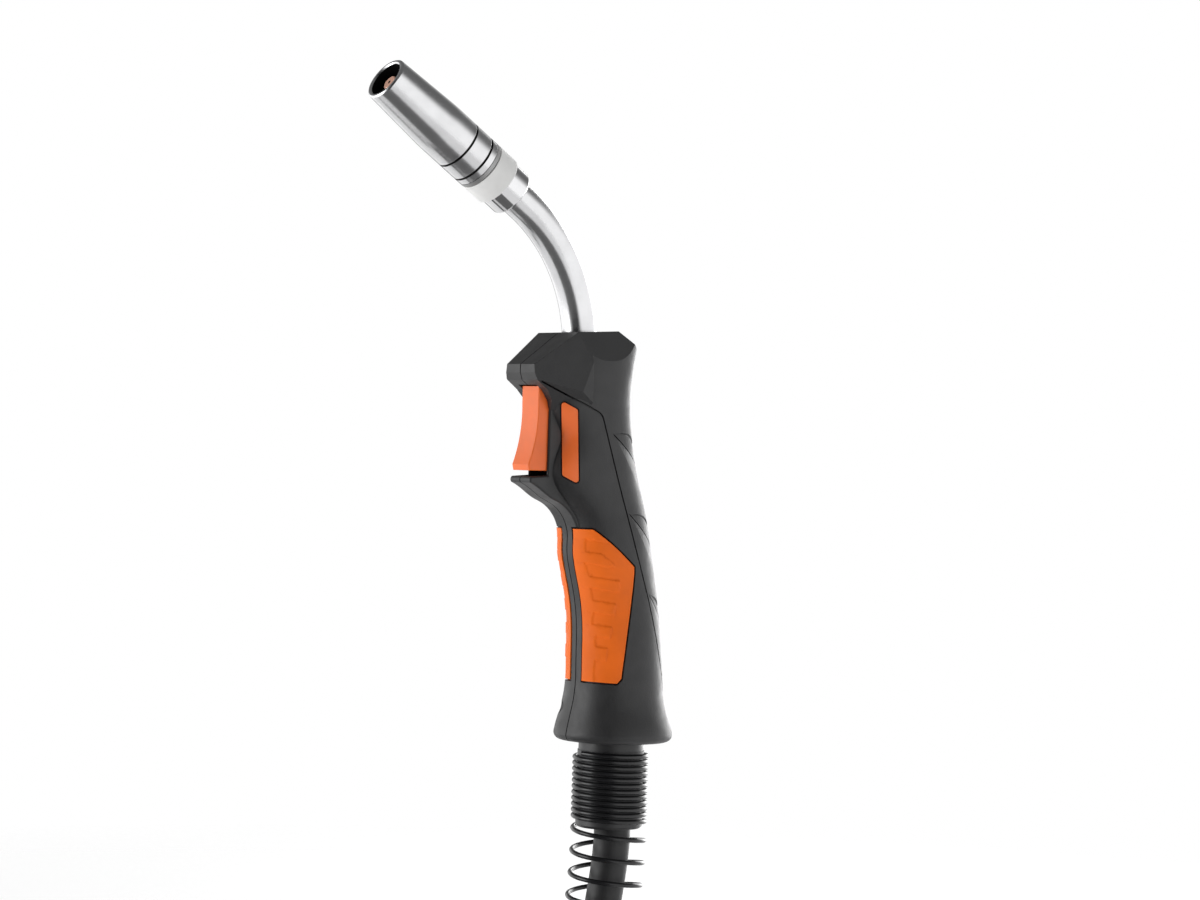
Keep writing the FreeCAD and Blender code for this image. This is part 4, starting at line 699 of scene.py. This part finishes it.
def cut_beside(work, start, end, shift):
    """Cuts the outside faces along a line that runs beside an edge."""
    here, there = Vector(start), Vector(end)
    along = (there - here).normalized()
    off = Vector((-along.y, along.x))
    near = []
    for face in filter(outside, work.faces):
        spots = [side_view(vert) - here for vert in face.verts]
        lengths = [spot.dot(along) for spot in spots]
        widths = [spot.dot(off) - shift for spot in spots]
        if max(lengths) > -COMB_MARGIN and min(lengths) < (there - here).length + COMB_MARGIN:
            if min(widths) < 0 < max(widths):
                near.append(face)
    around = {item for face in near for item in (*face.verts, *face.edges)}
    point = (here + off * shift) * MM
    bmesh.ops.bisect_plane(
        work, geom=list(around) + near, dist=1e-6, plane_co=(point.x, 0, point.y), plane_no=(off.x, 0, off.y))


def combed(node):
    """The pad with its outside sunk wherever no block of the comb is."""
    mesh = nodes[node].data.copy()
    work = bmesh.new()
    work.from_mesh(mesh)
    bmesh.ops.remove_doubles(work, verts=work.verts, dist=1e-6)
    bmesh.ops.recalc_face_normals(work, faces=work.faces)
    for start, end in comb_edges():
        for shift in (-COMB_RAMP, COMB_RAMP):
            cut_beside(work, start, end, shift)
    blocks = comb_blocks()
    for vert in {vert for face in work.faces if outside(face) for vert in face.verts}:
        gap = min(signed_distance(side_view(vert), block) for block in blocks)
        low = min(max((gap + COMB_RAMP) / (2 * COMB_RAMP), 0), 1)
        vert.co -= off_middle(vert.co) * low * COMB_DEPTH * MM
    work.to_mesh(mesh)
    work.free()
    stand_in(piece_of(node + "_face", mesh, 28), node, "grip_rubber")


combed("left_grip_pad")
combed("right_grip_pad")


# Support spring: round wire, close turns above and open turns below. Lengths are in millimetres.

SPRING_START = -63.85
SPRING_RADIUS = 15.05
WIRE_RADIUS = 1.0
SPRING_TURNS = 16
CLOSE_TURNS = 11
CLOSE_PITCH = 2.45
OPEN_PITCH = 9.35
# Below this height the open turns lean forward, further the lower they are
LEAN_START = -95.0
LEAN = 0.002
TURN_STEPS = 40


def spring_point(turns):
    past = max(0.0, turns - CLOSE_TURNS)
    grown = min(past, 1.0) ** 2 / 2 + max(0.0, past - 1)
    height = SPRING_START - CLOSE_PITCH * turns - (OPEN_PITCH - CLOSE_PITCH) * grown
    angle = 2 * math.pi * turns + math.pi
    lean = LEAN * max(0.0, LEAN_START - height) ** 2
    return Vector((SPRING_RADIUS * math.cos(angle) - lean, SPRING_RADIUS * math.sin(angle), height)) * MM


spring_line = [spring_point(step / TURN_STEPS) for step in range(SPRING_TURNS * TURN_STEPS + 1)]
spring = tube_along("spring", spring_line, WIRE_RADIUS * MM, 14)
paint(spring, "spring_black")
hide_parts("support_spring")
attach(spring, "swivel")


# Floor: a pale disc that fades out to its rim

FLOOR_RADIUS = 1.3
# It fades between these distances from its middle
FLOOR_FADE = 0.7, 1.25
FLOOR_GLOW = 0.52


def make_floor():
    bpy.ops.mesh.primitive_circle_add(
        vertices=96, radius=FLOOR_RADIUS, fill_type="NGON", location=(0, 0, FLOOR))
    floor = bpy.context.object
    floor.name = "floor"
    finish = Finish("floor", (0.86, 0.86, 0.86), 0.7)
    finish.bump(finish.noise(0.004, 2), 0.00005)
    finish.give("Specular IOR Level", 0.2)
    finish.give("Emission Color", (1, 1, 1, 1))
    finish.give("Emission Strength", FLOOR_GLOW)
    distance = finish.node("ShaderNodeVectorMath", operation="LENGTH")
    finish.feed(finish.place, distance.inputs[0])
    clear = finish.node("ShaderNodeBsdfTransparent")
    surface = finish.mixed_shaders(
        finish.ranged(distance.outputs["Value"], *FLOOR_FADE),
        finish.shader.outputs["BSDF"], clear.outputs["BSDF"])
    finish.feed(surface, finish.tree.nodes["Material Output"].inputs["Surface"])
    floor.data.materials.append(finish.material)


# Card: only gloss sees it. It lies below the neck and draws the dark line along nozzle and neck.

CARD = [(-0.02, 0.04), (-0.02, -0.12), (-0.67, -1.13), (-1.15, -0.6), (-1.33, -0.01), (-0.3, 0.04)]
CARD_HEIGHT = -0.2


def make_card():
    card = bpy.data.objects.new("black_card", bpy.data.meshes.new("black_card"))
    card.data.from_pydata([(x, y, CARD_HEIGHT) for x, y in CARD], [], [range(len(CARD))])
    bpy.context.scene.collection.objects.link(card)
    card.visible_camera = card.visible_diffuse = card.visible_shadow = card.visible_transmission = False
    card.data.materials.append(Finish("black_card", (0.30, 0.30, 0.30), 0.9).material)


# Light: the world and two lamps

DARK_SIDE = Vector((-0.853, -0.522, 0))
DARK_WIDTH = 0.50
DARK_HEIGHT = 0.62
DARK_LEVEL = 0.03
BACK_SIDE = Vector((0.609, 0.793, 0))
BACK_LEVEL = 0.2
TOP_LEVEL = 0.12
RIGHT_SIDE = Vector((0.793, -0.609, 0))
LEFT_LEVEL = 1.45
RIGHT_LEVEL = 1.25
# Where each change starts and ends: the dark gap's as a square of its own size, the others' as cosines
DARK_FADE = 0.45, 1.7
FRONT_FADE = -0.05, 0.05
BACK_FADE = 0.88, 0.955
TOP_FADE = 0.24, 0.52
SIDE_FADE = -0.85, 0.2


def light_world():
    """Plain white all round for the camera, and a light of its own for the torch.

    The light has a dark gap, an oval on the camera's side and to its left. It is dim above and straight
    behind, and a little stronger on the left than on the right.
    """
    world = bpy.data.worlds.new("studio")
    bpy.context.scene.world = world
    world.use_nodes = True
    light = Nodes(world.node_tree)
    way = light.node("ShaderNodeTexCoord").outputs["Generated"]

    def fade(value, ends, start_level, end_level):
        return light.ranged(value, *ends, start_level, end_level, "SMOOTHSTEP")

    def times(first, second):
        return light.maths("MULTIPLY", first, second)

    def squared(value, size):
        return times(times(value, value), 1 / size ** 2)

    up = light.dot(way, UP)
    spread = light.maths(
        "ADD", squared(light.dot(way, DARK_SIDE.cross(UP)), DARK_WIDTH), squared(up, DARK_HEIGHT))
    gap = light.maths(
        "MAXIMUM", fade(spread, DARK_FADE, DARK_LEVEL, 1.0),
        fade(light.dot(way, DARK_SIDE), FRONT_FADE, 1.0, 0.0))
    back = fade(light.dot(way, BACK_SIDE), BACK_FADE, 1.0, BACK_LEVEL)
    roof = fade(up, TOP_FADE, 1.0, TOP_LEVEL)
    side = fade(light.dot(way, RIGHT_SIDE), SIDE_FADE, LEFT_LEVEL, RIGHT_LEVEL)

    lit = light.tree.nodes["Background"]
    light.feed(times(times(gap, roof), times(side, back)), lit.inputs["Strength"])
    seen = light.node("ShaderNodeBackground")
    for background in (lit, seen):
        light.feed((1, 1, 1, 1), background.inputs["Color"])
    surface = light.mixed_shaders(
        light.node("ShaderNodeLightPath").outputs["Is Camera Ray"],
        lit.outputs["Background"], seen.outputs["Background"])
    light.feed(surface, light.tree.nodes["World Output"].inputs["Surface"])


def softbox(name, place, width, height, power):
    """A lamp that looks at the middle of the torch."""
    data = bpy.data.lights.new(name, "AREA")
    data.shape = "RECTANGLE"
    data.size = width
    data.size_y = height
    data.energy = power
    lamp = bpy.data.objects.new(name, data)
    bpy.context.scene.collection.objects.link(lamp)
    lamp.location = place
    lamp.rotation_euler = (Vector((0, 0, 0.05)) - Vector(place)).to_track_quat("-Z", "Y").to_euler()
    lamp.visible_camera = False


make_floor()
make_card()
light_world()
softbox("left_box", (-1.5, 0.7, 0.25), 1.0, 1.2, 9)
softbox("rim_box", (1.3, 0.5, 0.2), 1.0, 1.0, 12)

bpy.context.scene.view_settings.view_transform = "Standard"
